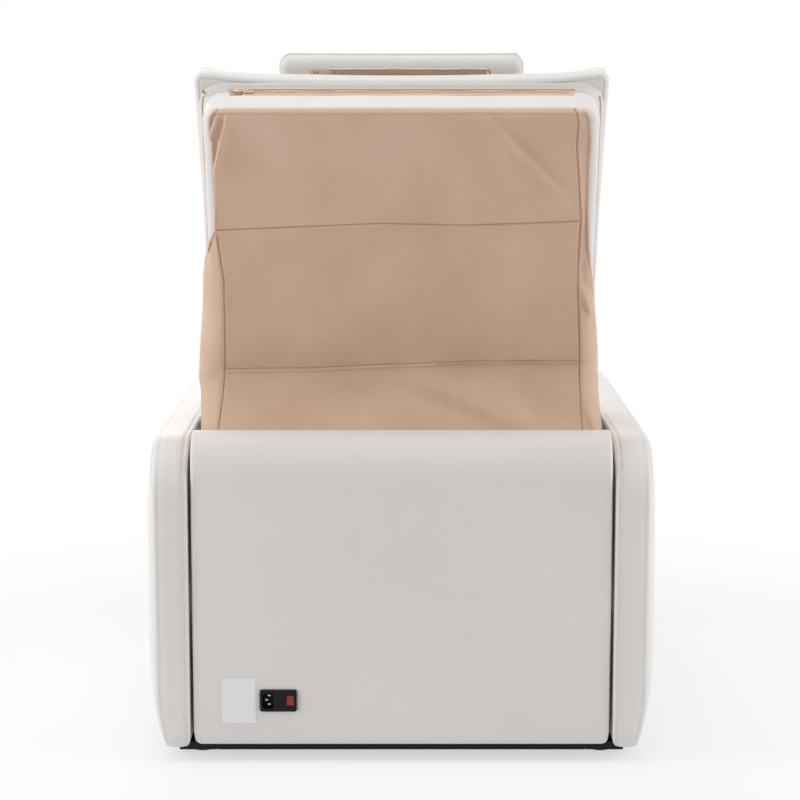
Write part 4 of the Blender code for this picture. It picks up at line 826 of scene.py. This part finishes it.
def pillow_cover():
    # Seen from behind, the back bulges up to a seam a little below the top edge
    profile = quarter(0.0, 0.0, 0.0140, True, 7) + [(0.0, 0.0148), (0.0028, PILLOW_SEAM), (0.0, 0.0180)]
    profile += quarter(0.0, 0.052, 0.018, False, 6)
    piece = cushion("pillow_cover", PILLOW_HALF, PILLOW_RADIUS, profile, (9,), PILLOW_CELLS, 0.015,
                    PILLOW_PULL, 0.007)
    set_points(piece, raised(points_of(piece)))
    reach, height, wide, deep = ZIP_GROOVE
    opening(piece, (-reach, height - wide, -PAST), (reach, height + wide, deep))
    # The pillow's seam gets its painted shade 2.2 times as strong
    mark_seams(piece, 2.2 * seams_of(piece))
    return piece


def pillow_piping():
    """A leather cord sewn into the seam round the pillow."""
    wide, high = (half - 0.0006 for half in PILLOW_HALF)
    grid = rounded_grid(wide, high, (PILLOW_RADIUS, PILLOW_RADIUS), (8, 40, 24), PILLOW_PULL)
    rim = raised(ring_at(PILLOW_SEAM - 0.0016, grid))
    piece = tube("pillow_piping", rim, 0.0026, WHITE_LEATHER, 10, "joined")
    mark_seams(piece)
    return piece


def pillow_lip():
    """The leather's turned edge above the pillow's zip, pulled into soft waves."""
    xs = np.linspace(-0.136, 0.112, 120)
    rise = 0.1064 + 0.0006 * np.sin(xs * 110) + 0.0005 * np.sin(xs * 47 + 1.0)
    piece = tube("pillow_zip_lip", [(x, y, -0.0002) for x, y in zip(xs, rise)], 0.0012, WHITE_LEATHER)
    mark_seams(piece)
    return piece


seat = cushion("seat_cover", (0.327, 0.206), 0.030, *piped(0.008, 0.0817, 0.006, 0.024, 0.050), (4, 30, 18),
               0.010, (0.004, 0.003), 0.006)
finish_piece(seat, "base", "white_leather", "seat_cushion",
             place=Matrix.Translation((0.0, -0.160, 0.3506)), fill=0.85)
legrest = cushion("legrest_cover", (0.324, 0.155), 0.024, *piped(0.006, 0.024, 0.005, 0.010, 0.011),
                  (4, 30, 14), 0.005, (0.003, 0.003), 0.003)
finish_piece(legrest, "legrest", "white_leather", "legrest_pad",
             place=Matrix.Translation((0.0, LEG_FRONT_OF_BOARD, 0.225)) @ FACING_FRONT, fill=0.8)
finish_piece(front_pad_cover(), "backrest", "white_leather", "back_front_pad",
             place=BACK @ Matrix.Translation((0.0, -0.0223, 0.277)) @ FACING_FRONT, fill=0.75)
finish_piece(box_cover(), "backrest", "white_leather", "back_box_pad",
             place=BACK @ Matrix.Translation((0.0, 0.0123, 0.288)) @ FACING_REAR, fill=0.9)
finish_piece(pillow_cover(), "pillow", "white_leather", "pillow_pad", place=PILLOW_PLACE, fill=0.7)
finish_piece(pillow_piping(), "pillow", "white_leather", place=PILLOW_PLACE)
finish_piece(pillow_lip(), "pillow", "white_leather", place=PILLOW_PLACE)


# Cloth cover of the back: three panels and two side panels, hemmed over the box's upper edge
COVER_PLANE = 0.0785
COVER_LEAVES = 0.165
COVER_END = (0.2330, 0.0734)
COVER_CORNER = (COVER_PLANE, 0.1192)
HEM_ARC = (0.0613, 0.5800, 0.0172)
HEM_WIDTH = 0.0085
# Heights up the back, and the cover's edges and upright seams there, left (+X) and right
LEFT_EDGE = ((0.596, 0.2720), (0.593, 0.2810), (0.589, 0.2865), (0.582, 0.2905), (0.573, 0.2920),
             (0.557, 0.2925), (0.543, 0.2885), (0.500, 0.2895), (0.438, 0.2880), (0.405, 0.2900),
             (0.386, 0.2990), (0.339, 0.3120), (0.304, 0.3155), (0.263, 0.3182), (0.203, 0.3235),
             (0.165, 0.3268), (0.151, 0.3284), (0.141, 0.3250), (0.110, 0.3215), (0.073, 0.3200))
LEFT_SEAM = ((0.600, 0.2640), (0.500, 0.2820), (0.398, 0.2868), (0.378, 0.2850), (0.321, 0.2793),
             (0.244, 0.2800), (0.160, 0.2830), (0.120, 0.2858), (0.073, 0.2925))
RIGHT_EDGE = ((0.596, 0.2660), (0.593, 0.2745), (0.589, 0.2800), (0.581, 0.2845), (0.543, 0.2885),
              (0.485, 0.2870), (0.438, 0.2880), (0.357, 0.2935), (0.309, 0.3000), (0.263, 0.3070),
              (0.203, 0.3140), (0.143, 0.3190), (0.103, 0.3220), (0.073, 0.3250))
RIGHT_SEAM = ((0.597, 0.2560), (0.588, 0.2650), (0.573, 0.2675), (0.540, 0.2660), (0.480, 0.2710),
              (0.412, 0.2773), (0.321, 0.2762), (0.244, 0.2808), (0.165, 0.2850), (0.110, 0.2860),
              (0.073, 0.2860))
# Seams across: places as (across, up)
CROSS_SEAMS = (
    ((0.330, 0.394), (0.287, 0.3965), (0.033, 0.4084), (-0.100, 0.4050), (-0.276, 0.4120), (-0.330, 0.414)),
    ((0.330, 0.152), (0.284, 0.1540), (0.147, 0.1560), (0.007, 0.1630), (-0.138, 0.1680), (-0.330, 0.169)),
)
SEAM_UPS = (0.4050, 0.1626)
SEAM_REACH = ((0.200, 0.560), (0.085, 0.380))
# Folds: ends as (across, up), soft and steep half widths, height; seen from behind, the soft side lies on the
# left of the run from the first end to the second
FOLDS = (
    ((-0.262, 0.440), (-0.112, 0.597), 0.034, 0.0036, 0.0100),
    ((-0.140, 0.600), (-0.290, 0.446), 0.045, 0.0450, 0.0034),
    ((-0.215, 0.430), (-0.150, 0.560), 0.020, 0.0070, 0.0046),
    ((-0.080, 0.592), (-0.130, 0.500), 0.030, 0.0200, 0.0012),
    ((0.262, 0.592), (0.290, 0.480), 0.0080, 0.0026, 0.0070),
    ((0.270, 0.590), (0.292, 0.500), 0.0034, 0.0060, -0.0040),
    ((0.276, 0.592), (0.296, 0.535), 0.0050, 0.0024, 0.0060),
    ((0.248, 0.588), (0.262, 0.520), 0.0180, 0.0080, 0.0016),
    ((0.112, 0.548), (0.020, 0.5455), 0.0030, 0.0014, 0.0007),
    ((-0.012, 0.5455), (-0.110, 0.5440), 0.0030, 0.0014, 0.0007),
    ((0.289, 0.320), (0.276, 0.268), 0.0070, 0.0040, 0.0030),
    ((0.296, 0.153), (0.332, 0.147), 0.0080, 0.0036, 0.0050),
    ((-0.279, 0.350), (-0.297, 0.288), 0.0090, 0.0040, -0.0034),
    ((-0.279, 0.305), (-0.305, 0.240), 0.0090, 0.0030, 0.0062),
    ((-0.286, 0.118), (-0.325, 0.070), 0.0100, 0.0032, 0.0070),
    ((0.075, 0.128), (-0.170, 0.080), 0.0140, 0.0200, -0.0090),
    ((0.015, 0.148), (-0.227, 0.086), 0.0200, 0.0080, 0.0090),
    ((-0.170, 0.126), (-0.282, 0.080), 0.0120, 0.0100, -0.0050),
    ((0.250, 0.150), (0.160, 0.084), 0.0300, 0.0240, -0.0026),
    ((-0.180, 0.300), (-0.276, 0.190), 0.0400, 0.0300, 0.0020),
    ((0.276, 0.300), (0.200, 0.180), 0.0400, 0.0300, 0.0016),
)
COVER_SIDES = ((LEFT_EDGE, LEFT_SEAM, 1.0), (RIGHT_EDGE, RIGHT_SEAM, -1.0))
CLOTH_WALL = 0.0012
# How far the cloth rises below a cross seam, beside an upright one and in its rolled hem, and how far each
# line of stitches sinks in
SEAM_LIP, SEAM_RIDGE, HEM_ROLL = 0.0022, 0.0010, 0.0016
UPRIGHT_SINK, CROSS_SINK, HEM_SINK = 0.0018, 0.0016, 0.0008
# Rounded rear edge of the box: where it starts across, its centre's depth and its radius
BOX_EDGE = (0.288, 0.061, 0.0155)


def cover_side_view():
    """Places down the cover's middle as (rearward, up) and how far down the cloth, closer at the seams."""
    y0, z0, radius = HEM_ARC
    places = arc_points((y0, z0), radius, 0.95, 0.0, 15)
    near_seam = np.array([-0.0034, -0.0022, -0.0013, -0.0006, 0.0, 0.0006, 0.0013, 0.0022, 0.0034])
    ups = np.concatenate([np.linspace(z0, COVER_LEAVES, 120)[1:], SEAM_UPS[0] + near_seam])
    places += [(COVER_PLANE, z) for z in sorted(ups, reverse=True)]
    # Below, the cloth leaves the box in a curve, with the second cross seam near its start
    shares = np.concatenate([np.linspace(0.0, 1.0, 60)[1:], 0.0265 + near_seam * 11]).clip(0.004, 1.0)
    for t in np.unique(shares):
        a, b, c = (1 - t) ** 2, 2 * t * (1 - t), t * t
        places.append((a * COVER_PLANE + b * COVER_CORNER[0] + c * COVER_END[0],
                       a * COVER_LEAVES + b * COVER_CORNER[1] + c * COVER_END[1]))
    places = np.array(places)
    steps = np.linalg.norm(np.diff(places, axis=0), axis=1)
    return places, np.concatenate([[0.0], np.cumsum(steps)])


def seam_shift(across, up):
    """How far a row bends up or down here, so that rows run along the cross seams."""
    shift = np.zeros_like(across)
    for line, middle, (low, high) in zip(CROSS_SEAMS, SEAM_UPS, SEAM_REACH):
        height = np.interp(-across, [-a for a, _ in line], [u for _, u in line])
        shift += (height - middle) * ramp(up, low if up < middle else high, middle)
    return shift


def table(rows, height):
    ups, values = zip(*sorted(rows))
    return np.interp(height, ups, values)


def fold_lift(across, up):
    lift = np.zeros_like(across)
    for start, end, soft, steep, height in FOLDS:
        run = np.array(end) - start
        length = np.linalg.norm(run)
        run /= length
        along = ((across - start[0]) * run[0] + (up - start[1]) * run[1]) / length
        aside = (across - start[0]) * run[1] - (up - start[1]) * run[0]
        width = np.where(aside > 0, soft, steep)
        lift += height * np.sin(math.pi * along.clip(0, 1)) ** 0.7 * np.exp(-(aside / width) ** 2)
    return lift


def clear_of_box(across):
    """The furthest forward that the cloth may lie without entering the box's rounded rear edge."""
    start, centre, radius = BOX_EDGE
    aside = np.clip(np.abs(across) - start, 0.0, radius)
    limit = COVER_PLANE - centre - np.sqrt(radius ** 2 - aside ** 2)
    return np.where(np.abs(across) < start + radius, limit, 1.0)


def cover_columns(edge, seam, side):
    """Across one half of a row: the panel up to its seam, the side panel turning forward, its tucked edge."""
    wide = ramp(edge, 0.296, 0.312)
    depth = 0.005 + 0.034 * wide
    beside = 0.0028
    panel = np.linspace(0.0, 1.0, 46) ** 0.9 * (seam - 0.004)
    close = seam + np.array([-beside, -0.0018, -0.0009, 0.0, 0.0009, 0.0018, beside])
    share = np.linspace(0.0, 1.0, 18)[1:]
    turning = np.sin(share * math.pi / 2) ** (0.75 + 0.25 * (1 - wide))
    turned = seam + beside + (edge - seam - beside) * turning
    tuck = np.linspace(0.0, 1.0, 7)[1:]
    across = np.concatenate([panel, close, turned, edge - 0.003 * tuck])
    flat = len(panel) + len(close)
    forward = np.concatenate([np.zeros(flat), depth * share ** 1.3, np.full(len(tuck), depth)])
    forward = np.minimum(forward, clear_of_box(across))
    forward[-len(tuck):] = forward[-len(tuck) - 1] + (0.002 + 0.022 * wide) * tuck
    to_seam = np.where(np.arange(len(across)) < flat + 4, np.abs(across - seam), 1.0)
    return side * across, forward, to_seam


def back_cover():
    """The cloth, row by row down the back, and its area before it gets its thickness."""
    places, run_down = cover_side_view()
    rows, sewn, hemmed, threads = [], [], [], []
    for (rear, up), down in zip(places, run_down):
        left, right = [cover_columns(table(edge, up), table(seam, up), side)
                       for edge, seam, side in COVER_SIDES]
        across, forward, to_seam = [np.concatenate([b[:0:-1], a]) for a, b in zip(left, right)]
        # On the left the upright seam starts at the first cross seam
        shown = np.concatenate([np.ones(len(right[0]) - 1), np.full(len(left[0]), ramp(up, 0.402, 0.392))])
        upright = near(to_seam, 0.0, 0.0011) * shown
        reach = np.abs(across) < np.where(across > 0, table(LEFT_SEAM, up), table(RIGHT_SEAM, up))
        crossing = max(near(up, middle, 0.0008) for middle in SEAM_UPS) * reach
        shift = seam_shift(across, up)
        hem = near(down, HEM_WIDTH, 0.0009)
        roll = HEM_ROLL * ramp(down, HEM_WIDTH + 0.0006, HEM_WIDTH - 0.0030)
        lift = fold_lift(across, up + shift) * ramp(down, 0.004, 0.020)
        lift += SEAM_LIP * max(near(up, middle - 0.0031, 0.0021) for middle in SEAM_UPS) * reach
        lift += roll - UPRIGHT_SINK * upright - CROSS_SINK * crossing - HEM_SINK * hem
        lift += SEAM_RIDGE * (near(to_seam, 0.0032, 0.0016) * shown)
        stand = np.maximum(lift - forward, -clear_of_box(across))
        rows.append(np.stack([across, np.full_like(across, rear), np.full_like(across, up), stand, shift], 1))
        sewn.append(np.maximum(np.maximum(upright, crossing), 0.4 * hem))
        hemmed.append(np.full_like(across, ramp(down, HEM_WIDTH + 0.001, HEM_WIDTH - 0.001)))
        threads.append(np.stack([across + np.sign(across) * forward, np.full_like(across, -down)], 1))
    rows = np.array(rows)
    count, columns = rows.shape[:2]
    run = np.gradient(rows[:, 0, 1:3], axis=0)
    run /= np.linalg.norm(run, axis=1, keepdims=True)
    rearward = np.stack([-run[:, 1], run[:, 0]], 1)
    vertices = np.empty((count, columns, 3))
    vertices[..., 0] = rows[..., 0]
    for axis in (0, 1):
        vertices[..., axis + 1] = (rows[..., axis + 1] + rearward[:, None, axis] * rows[..., 3]
                                   - run[:, None, axis] * rows[..., 4])
    index = np.arange(count * columns).reshape(count, columns)
    piece = new_piece("back_cloth_cover", vertices.reshape(-1, 3), quads(index), BEIGE_CLOTH)
    mark_seams(piece, np.concatenate(sewn))
    mark_seams(piece, np.concatenate(hemmed), "hem")
    layer = piece.data.uv_layers.new(name="threads")
    corners = read(piece.data.loops, "vertex_index", 1, int)
    layer.data.foreach_set("uv", np.concatenate(threads)[corners].ravel())
    ripple(piece, np.ones(count * columns), 0.0012, 0.070, 11.0)
    settle(piece, BACK)
    area = sum(face.area for face in piece.data.polygons)
    modify(piece, "SOLIDIFY", thickness=CLOTH_WALL, offset=-1.0)
    return piece, area


cloth_cover, cloth_area = back_cover()
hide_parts("back_cover")
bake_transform(cloth_cover)


# Zip band: the sewn strip between the two pads, up one side, over the top and down the other
BAND_HALF, BAND_TOP, BAND_LOW, BAND_RADIUS = 0.302, 0.588, 0.055, 0.024
BAND_FRONT, BAND_REAR = -0.022, 0.012
# Section as (rearward, stand-off): two plackets rise a little on either side of the zip, and the front one is
# turned over as a flap
BAND_PROFILE = (
    (BAND_FRONT, -0.004), (BAND_FRONT, 0.0128), (-0.0214, 0.0126), (-0.0200, 0.0096), (-0.0184, 0.0062),
    (-0.0172, 0.0042), (-0.0164, 0.0034), (-0.0158, 0.0026), (-0.0157, 0.0004), (-0.0040, 0.0),
    (0.0062, 0.0002), (0.0072, 0.0016), (0.0088, 0.0018), (0.0106, 0.0012), (BAND_REAR, -0.0012),
    (BAND_REAR, -0.004),
)


def band_arch(inset):
    """Places along the band as (across, up), from the left foot to the right one."""
    corner, right = BAND_RADIUS - inset, math.pi / 2
    aside, shoulder = BAND_HALF - BAND_RADIUS, BAND_TOP - BAND_RADIUS
    places = [(BAND_HALF - inset, z) for z in np.linspace(BAND_LOW, shoulder, 40)[:-1]]
    places += arc_points((aside, shoulder), corner, 0, right, 8)
    places += [(x, BAND_TOP - inset) for x in np.linspace(aside, -aside, 60)[1:-1]]
    places += arc_points((-aside, shoulder), corner, right, 2 * right, 8)
    return places + [(-BAND_HALF + inset, z) for z in np.linspace(shoulder, BAND_LOW, 40)[1:]]


def band_cover():
    lines = [[(x, rearward, z) for x, z in band_arch(-stand_off)] for rearward, stand_off in BAND_PROFILE]
    piece = shell("zip_band_cover", list(zip(*lines)), WHITE_LEATHER)
    mark_seams(piece)
    return piece


finish_piece(band_cover(), "backrest", "white_leather", "zip_band", place=BACK)


# Zips: a woven tape, two rows of coil teeth and end stops, or ends that part where the zip is open.
# The teeth are drawn every 4 mm, coarser than real ones, so that they show
TOOTH_PITCH, TOOTH_SIZE, TOOTH_HEIGHT = 0.0040, (0.0021, 0.0040, 0.0028), 0.0034
# How far each row lies aside, and starts after the other
TOOTH_ROWS = ((0.0015, 0.0), (-0.0015, 0.0005))
TEETH_END = 0.006
# An open end's tails: places from the tape's end on, and how far they have parted there and at their tips
TAIL = ((-0.004, 0.0022), (0.006, 0.0034), (0.014, 0.0054))
TAIL_SPREAD = 0.0072


def rounded_block(name, low, high, radius, finish):
    """A small moulded or cast block with all its edges rounded."""
    made = bmesh.new()
    bmesh.ops.create_cube(made, size=1.0)
    middle, size = (np.array(low) + high) / 2, np.array(high) - low
    for vertex in made.verts:
        vertex.co = Vector(middle + size * np.array(vertex.co))
    bmesh.ops.bevel(made, geom=made.edges[:], offset=radius, segments=2, affect="EDGES", profile=0.5)
    mesh = bpy.data.meshes.new(name)
    made.to_mesh(mesh)
    made.free()
    mesh.materials.append(finish)
    mesh.shade_smooth()
    return show(name, mesh)


def zip_parts(name, length, width, tooth_line, finish, open_end):
    """A straight zip in its own frame: along x, across y, out of the tape z; it parts at an open end."""
    half, wide = length / 2, width / 2
    section = [(-wide, 0.0003), (-wide, 0.0027), (-wide * 0.45, 0.0031), (tooth_line - 0.0022, 0.0032),
               (tooth_line + 0.0022, 0.0032), (wide * 0.6, 0.0031), (wide, 0.0027), (wide, 0.0003)]
    rings = [[(x, y, z) for y, z in section] for x in np.linspace(-half, half - open_end, 120)]
    first, last = TEETH_END - half, half - TEETH_END - open_end
    rows = [[(x, tooth_line + aside, TOOTH_HEIGHT) for x in (first + shift, last)]
            for aside, shift in TOOTH_ROWS]
    # A darker strip in the thread's colour lies under the teeth and shows between them as painted shade
    parts = [shell(f"{name}_tape", rings, finish, turned=True),
             bead_rows(f"{name}_teeth", rows, TOOTH_PITCH, TOOTH_SIZE, (0.0, 0.0, 1.0), SHADE_LIFTED_NYLON),
             rounded_block(f"{name}_shade_strip", (first, tooth_line - 0.0034, 0.0028),
                           (last, tooth_line + 0.0034, 0.0035), 0.0002, THREAD_AND_SHADE_BEIGE)]
    for aside in (-1.0, 1.0) if open_end else ():
        tail = [(half - open_end + x, aside * y) for x, y in TAIL] + [(half, aside * TAIL_SPREAD)]
        for out, radius, tail_finish in ((0.0, 0.0018, finish), (0.0019, 0.0006, THREAD_AND_SHADE_BEIGE)):
            path = [(x, tooth_line + y - aside * out, 0.0018 + out * 0.3) for x, y in tail]
            parts.append(tube(f"{name}_tail", path, radius, tail_finish))
    for x in (-half + 0.004, half - 0.003)[:1 if open_end else 2]:
        parts.append(rounded_block(f"{name}_stop", (x - 0.0016, tooth_line - 0.0032, 0.0018),
                                   (x + 0.0016, tooth_line + 0.0032, 0.0044), 0.0007, ZIP_ENAMEL))
    return join(f"{name}_strip", parts)


# Slider: its length, half width of its pull, and the arch of its bridge as (along, up)
SLIDER_LENGTH, PULL_HALF = 0.016, 0.0042
BRIDGE = ((0.003, 0.0010), (0.0045, 0.0026), (0.008, 0.0030), (0.0115, 0.0026), (0.013, 0.0010))


def slider(name, slider_x, floor, flatness):
    """A cast slider: a wedge plate with a bridge over it, and a pull that lies along the zip."""
    low, high = slider_x - SLIDER_LENGTH, slider_x
    outline = [(low, 0.0030), (low + 0.003, 0.0048), (high - 0.003, 0.0052), (high, 0.0040)]
    outline += [(x, -y) for x, y in reversed(outline)]
    rings = [[(x, y, z) for x, y in outline] for z in (floor, floor + 0.0014)]
    plate = shell(f"{name}_plate", rings, ZIP_ENAMEL, smooth=False, turned=True)
    modify(plate, "BEVEL", width=0.0005, segments=2)
    bridge = tube(f"{name}_bridge", [(low + x, 0, floor + z) for x, z in BRIDGE], 0.0008, ZIP_ENAMEL)
    # The pull: a flat link with two holes, drawn as its rim, its middle bar and its tip
    start, end, wide, level = slider_x - 0.008, slider_x + 0.016, PULL_HALF, floor + 0.0022
    rim = [(start + 0.001, -wide * 0.6), (start, 0.0), (start + 0.001, wide * 0.6),
           (start + 0.005, wide * 0.72), (end - 0.006, wide), (end - 0.0015, wide * 0.85), (end, 0.0),
           (end - 0.0015, -wide * 0.85), (end - 0.006, -wide), (start + 0.005, -wide * 0.72)]
    loop = tube(f"{name}_rim", [(x, y * 0.80, level) for x, y in rim], 0.00095, ZIP_ENAMEL, ends="joined")
    bars = [rounded_block(f"{name}_bar", (x0, -wide * 0.8, level - 0.0006), (x1, wide * 0.8, level + 0.0006),
                          0.0003, ZIP_ENAMEL)
            for x0, x1 in ((start + 0.0062, start + 0.0105), (start + 0.0155, end - 0.0008))]
    piece = join(name, [plate, bridge, loop] + bars)
    recalculated = bmesh.new()
    recalculated.from_mesh(piece.data)
    bmesh.ops.recalc_face_normals(recalculated, faces=recalculated.faces[:])
    recalculated.to_mesh(piece.data)
    recalculated.free()
    points = points_of(piece)
    points[:, 2] = floor + (points[:, 2] - floor) * flatness
    set_points(piece, points)
    return piece


BACK_ZIP_LINE = BACK @ Matrix.Translation((0.0, -0.005, BAND_TOP))
PILLOW_ZIP_LINE = BACK @ Matrix.Translation((0.0, -0.0906, 0.594)) @ Matrix.Rotation(-math.pi / 2, 4, "X")
# Name, body and line; length, width, place of the teeth, tape and open end; slider's place, floor, flatness
ZIPS = (
    ("back_zip", "backrest", BACK_ZIP_LINE, (0.530, 0.022, -0.002, ZIP_NYLON, 0.020), (0.244, 0.0043, 1.0)),
    ("pillow_zip", "pillow", PILLOW_ZIP_LINE, (0.280, 0.009, 0.0, SHADE_LIFTED_NYLON, 0.0), (0.128, 0.0030, 0.5)),
)
for name, body, line, zip_sizes, slider_sizes in ZIPS:
    finish_piece(zip_parts(name, *zip_sizes), body, "zip_nylon", name, place=line)
    cast = slider(f"{name}_slider_cast", *slider_sizes)
    finish_piece(cast, f"{name}_slider", "zip_metal", f"{name}_slider", place=line)


# Trims round the band: a dark cord as painted shadow under the flap's edge above the zip, the side zips'
# lines and their pull
SIDE_ZIP_DEPTH, SIDE_PULL_DEPTH = -0.0190, -0.0118


def band_trims():
    # A thin dark cord under the flap's edge is painted shadow
    flap = [(x, -0.0166 + 0.0003 * math.sin(x * 60), BAND_TOP + 0.0037)
            for x in np.linspace(0.268, -0.268, 70)]
    pieces = [tube("flap_shadow_line", flap, 0.0006, THREAD_AND_SHADE_BEIGE, 6)]
    line = [(0.3100, z) for z in np.linspace(0.060, 0.560, 30)] + [(0.3096, 0.570), (0.3080, 0.580)]
    for side in (1.0, -1.0):
        path = [(side * x, SIDE_ZIP_DEPTH, z) for x, z in line]
        pieces.append(tube("side_zip_line", path, 0.0011, ZIP_NYLON))
    # The left side zip's pull hangs over the corner: a solid upper half and an open lower one
    link = ((0.3075, 0.5935), (0.3092, 0.5920), (0.3020, 0.5826), (0.2985, 0.5838), (0.2995, 0.5862))
    bar = ((0.3080, 0.5922), (0.3040, 0.5872))
    for name, path, radius, finish, ends in (("side_pull", link, 0.0009, ZIP_ENAMEL, "joined"),
                                             ("side_pull_bar", bar, 0.0017, THREAD_AND_SHADE_BEIGE, "flat")):
        pieces.append(tube(name, [(x, SIDE_PULL_DEPTH, z) for x, z in path], radius, finish, ends=ends))
    return join("zip_band_trims", pieces)


finish_piece(band_trims(), "backrest", "zip_nylon", place=BACK)


# Studio: a pale floor, a white surround and broad soft lamps
FLOOR_REACH, AMBIENT = 6, 0.42
WHITE = (1.0, 1.0, 1.0, 1.0)
# Lamps: place, aim, size in metres and power in watts
LAMPS = {
    "overhead_softbox": ((0.2, 0.5, 3.0), (0.0, 0.1, 0.4), (2.2, 1.8), 24.0),
    "left_softbox": ((2.5, 0.85, 1.3), (0.0, 0.1, 0.6), (1.2, 2.0), 28.5),
    "right_softbox": ((-2.5, 0.85, 1.3), (0.0, 0.1, 0.6), (1.2, 2.0), 26.5),
    "front_softbox": ((0.6, -3.0, 2.2), (0.0, 0.0, 0.5), (2.4, 1.6), 26.0),
}


def seen_rays(tree):
    """1 for what the eye sees, straight or by gloss and glass, and 0 for light that falls on the object."""
    ray = add(tree, "ShaderNodeLightPath").outputs
    seen = ray["Is Camera Ray"]
    for kind in ("Is Glossy Ray", "Is Transmission Ray"):
        seen = add(tree, "ShaderNodeMath", {0: seen, 1: ray[kind]}, operation="MAXIMUM")
    return seen


def studio():
    finish, tree, shader = new_finish("pale_studio_floor")
    feed(tree, shader, {"Base Color": to_linear("#F4F4F6"), "Roughness": 0.9})
    # The floor is lit up to white away from the object, and keeps its shadow close by
    place = add(tree, "ShaderNodeTexCoord").outputs["Object"]
    away = add(tree, "ShaderNodeVectorMath", {0: place}, operation="LENGTH")
    lit = add(tree, "ShaderNodeMapRange",
              {"Value": away, "From Min": 0.66, "From Max": 1.50, "To Min": 0.60, "To Max": 1.0},
              interpolation_type="SMOOTHSTEP")
    share = add(tree, "ShaderNodeMath", {0: seen_rays(tree), 1: lit}, operation="MULTIPLY")
    glow = add(tree, "ShaderNodeEmission", {"Color": WHITE, "Strength": 1.0})
    mixed = add(tree, "ShaderNodeMixShader", {0: share, 1: shader, 2: glow})
    feed(tree, tree.nodes["Material Output"], {"Surface": mixed})
    corners = [(x * FLOOR_REACH, y * FLOOR_REACH, 0) for x, y in ((-1, -1), (1, -1), (1, 1), (-1, 1))]
    new_piece("studio_floor", corners, [(0, 1, 2, 3)], finish)
    world = bpy.data.worlds.new("white_surround")
    bpy.context.scene.world = world
    world.use_nodes = True
    tree = world.node_tree
    level = add(tree, "ShaderNodeMapRange", {"Value": seen_rays(tree), "To Min": AMBIENT, "To Max": 1.0})
    feed(tree, tree.nodes["Background"], {"Color": WHITE, "Strength": level})
    for name, (place, aim, size, power) in LAMPS.items():
        lamp = show(name, bpy.data.lights.new(name, "AREA"))
        lamp.data.shape = "RECTANGLE"
        lamp.data.size, lamp.data.size_y = size
        lamp.data.energy = power
        lamp.location = place
        lamp.rotation_euler = (Vector(aim) - Vector(place)).to_track_quat("-Z", "Y").to_euler()


studio()

# Camera: from behind, 1.05 m up, 3.2 m off the rear panel, tilted down
CAMERA_PLACE, CAMERA_TILT = (0.0023, 3.65, 1.05), math.radians(81.55)
CAMERA_SENSOR, CAMERA_LENS = 36.0, 95.5
camera = show("camera", bpy.data.cameras.new("camera"))
camera.location = CAMERA_PLACE
camera.rotation_euler = (CAMERA_TILT, 0.0, math.pi)
camera.data.sensor_width = CAMERA_SENSOR
camera.data.lens = CAMERA_LENS
bpy.context.scene.camera = camera
bpy.context.scene.view_settings.view_transform = "Standard"
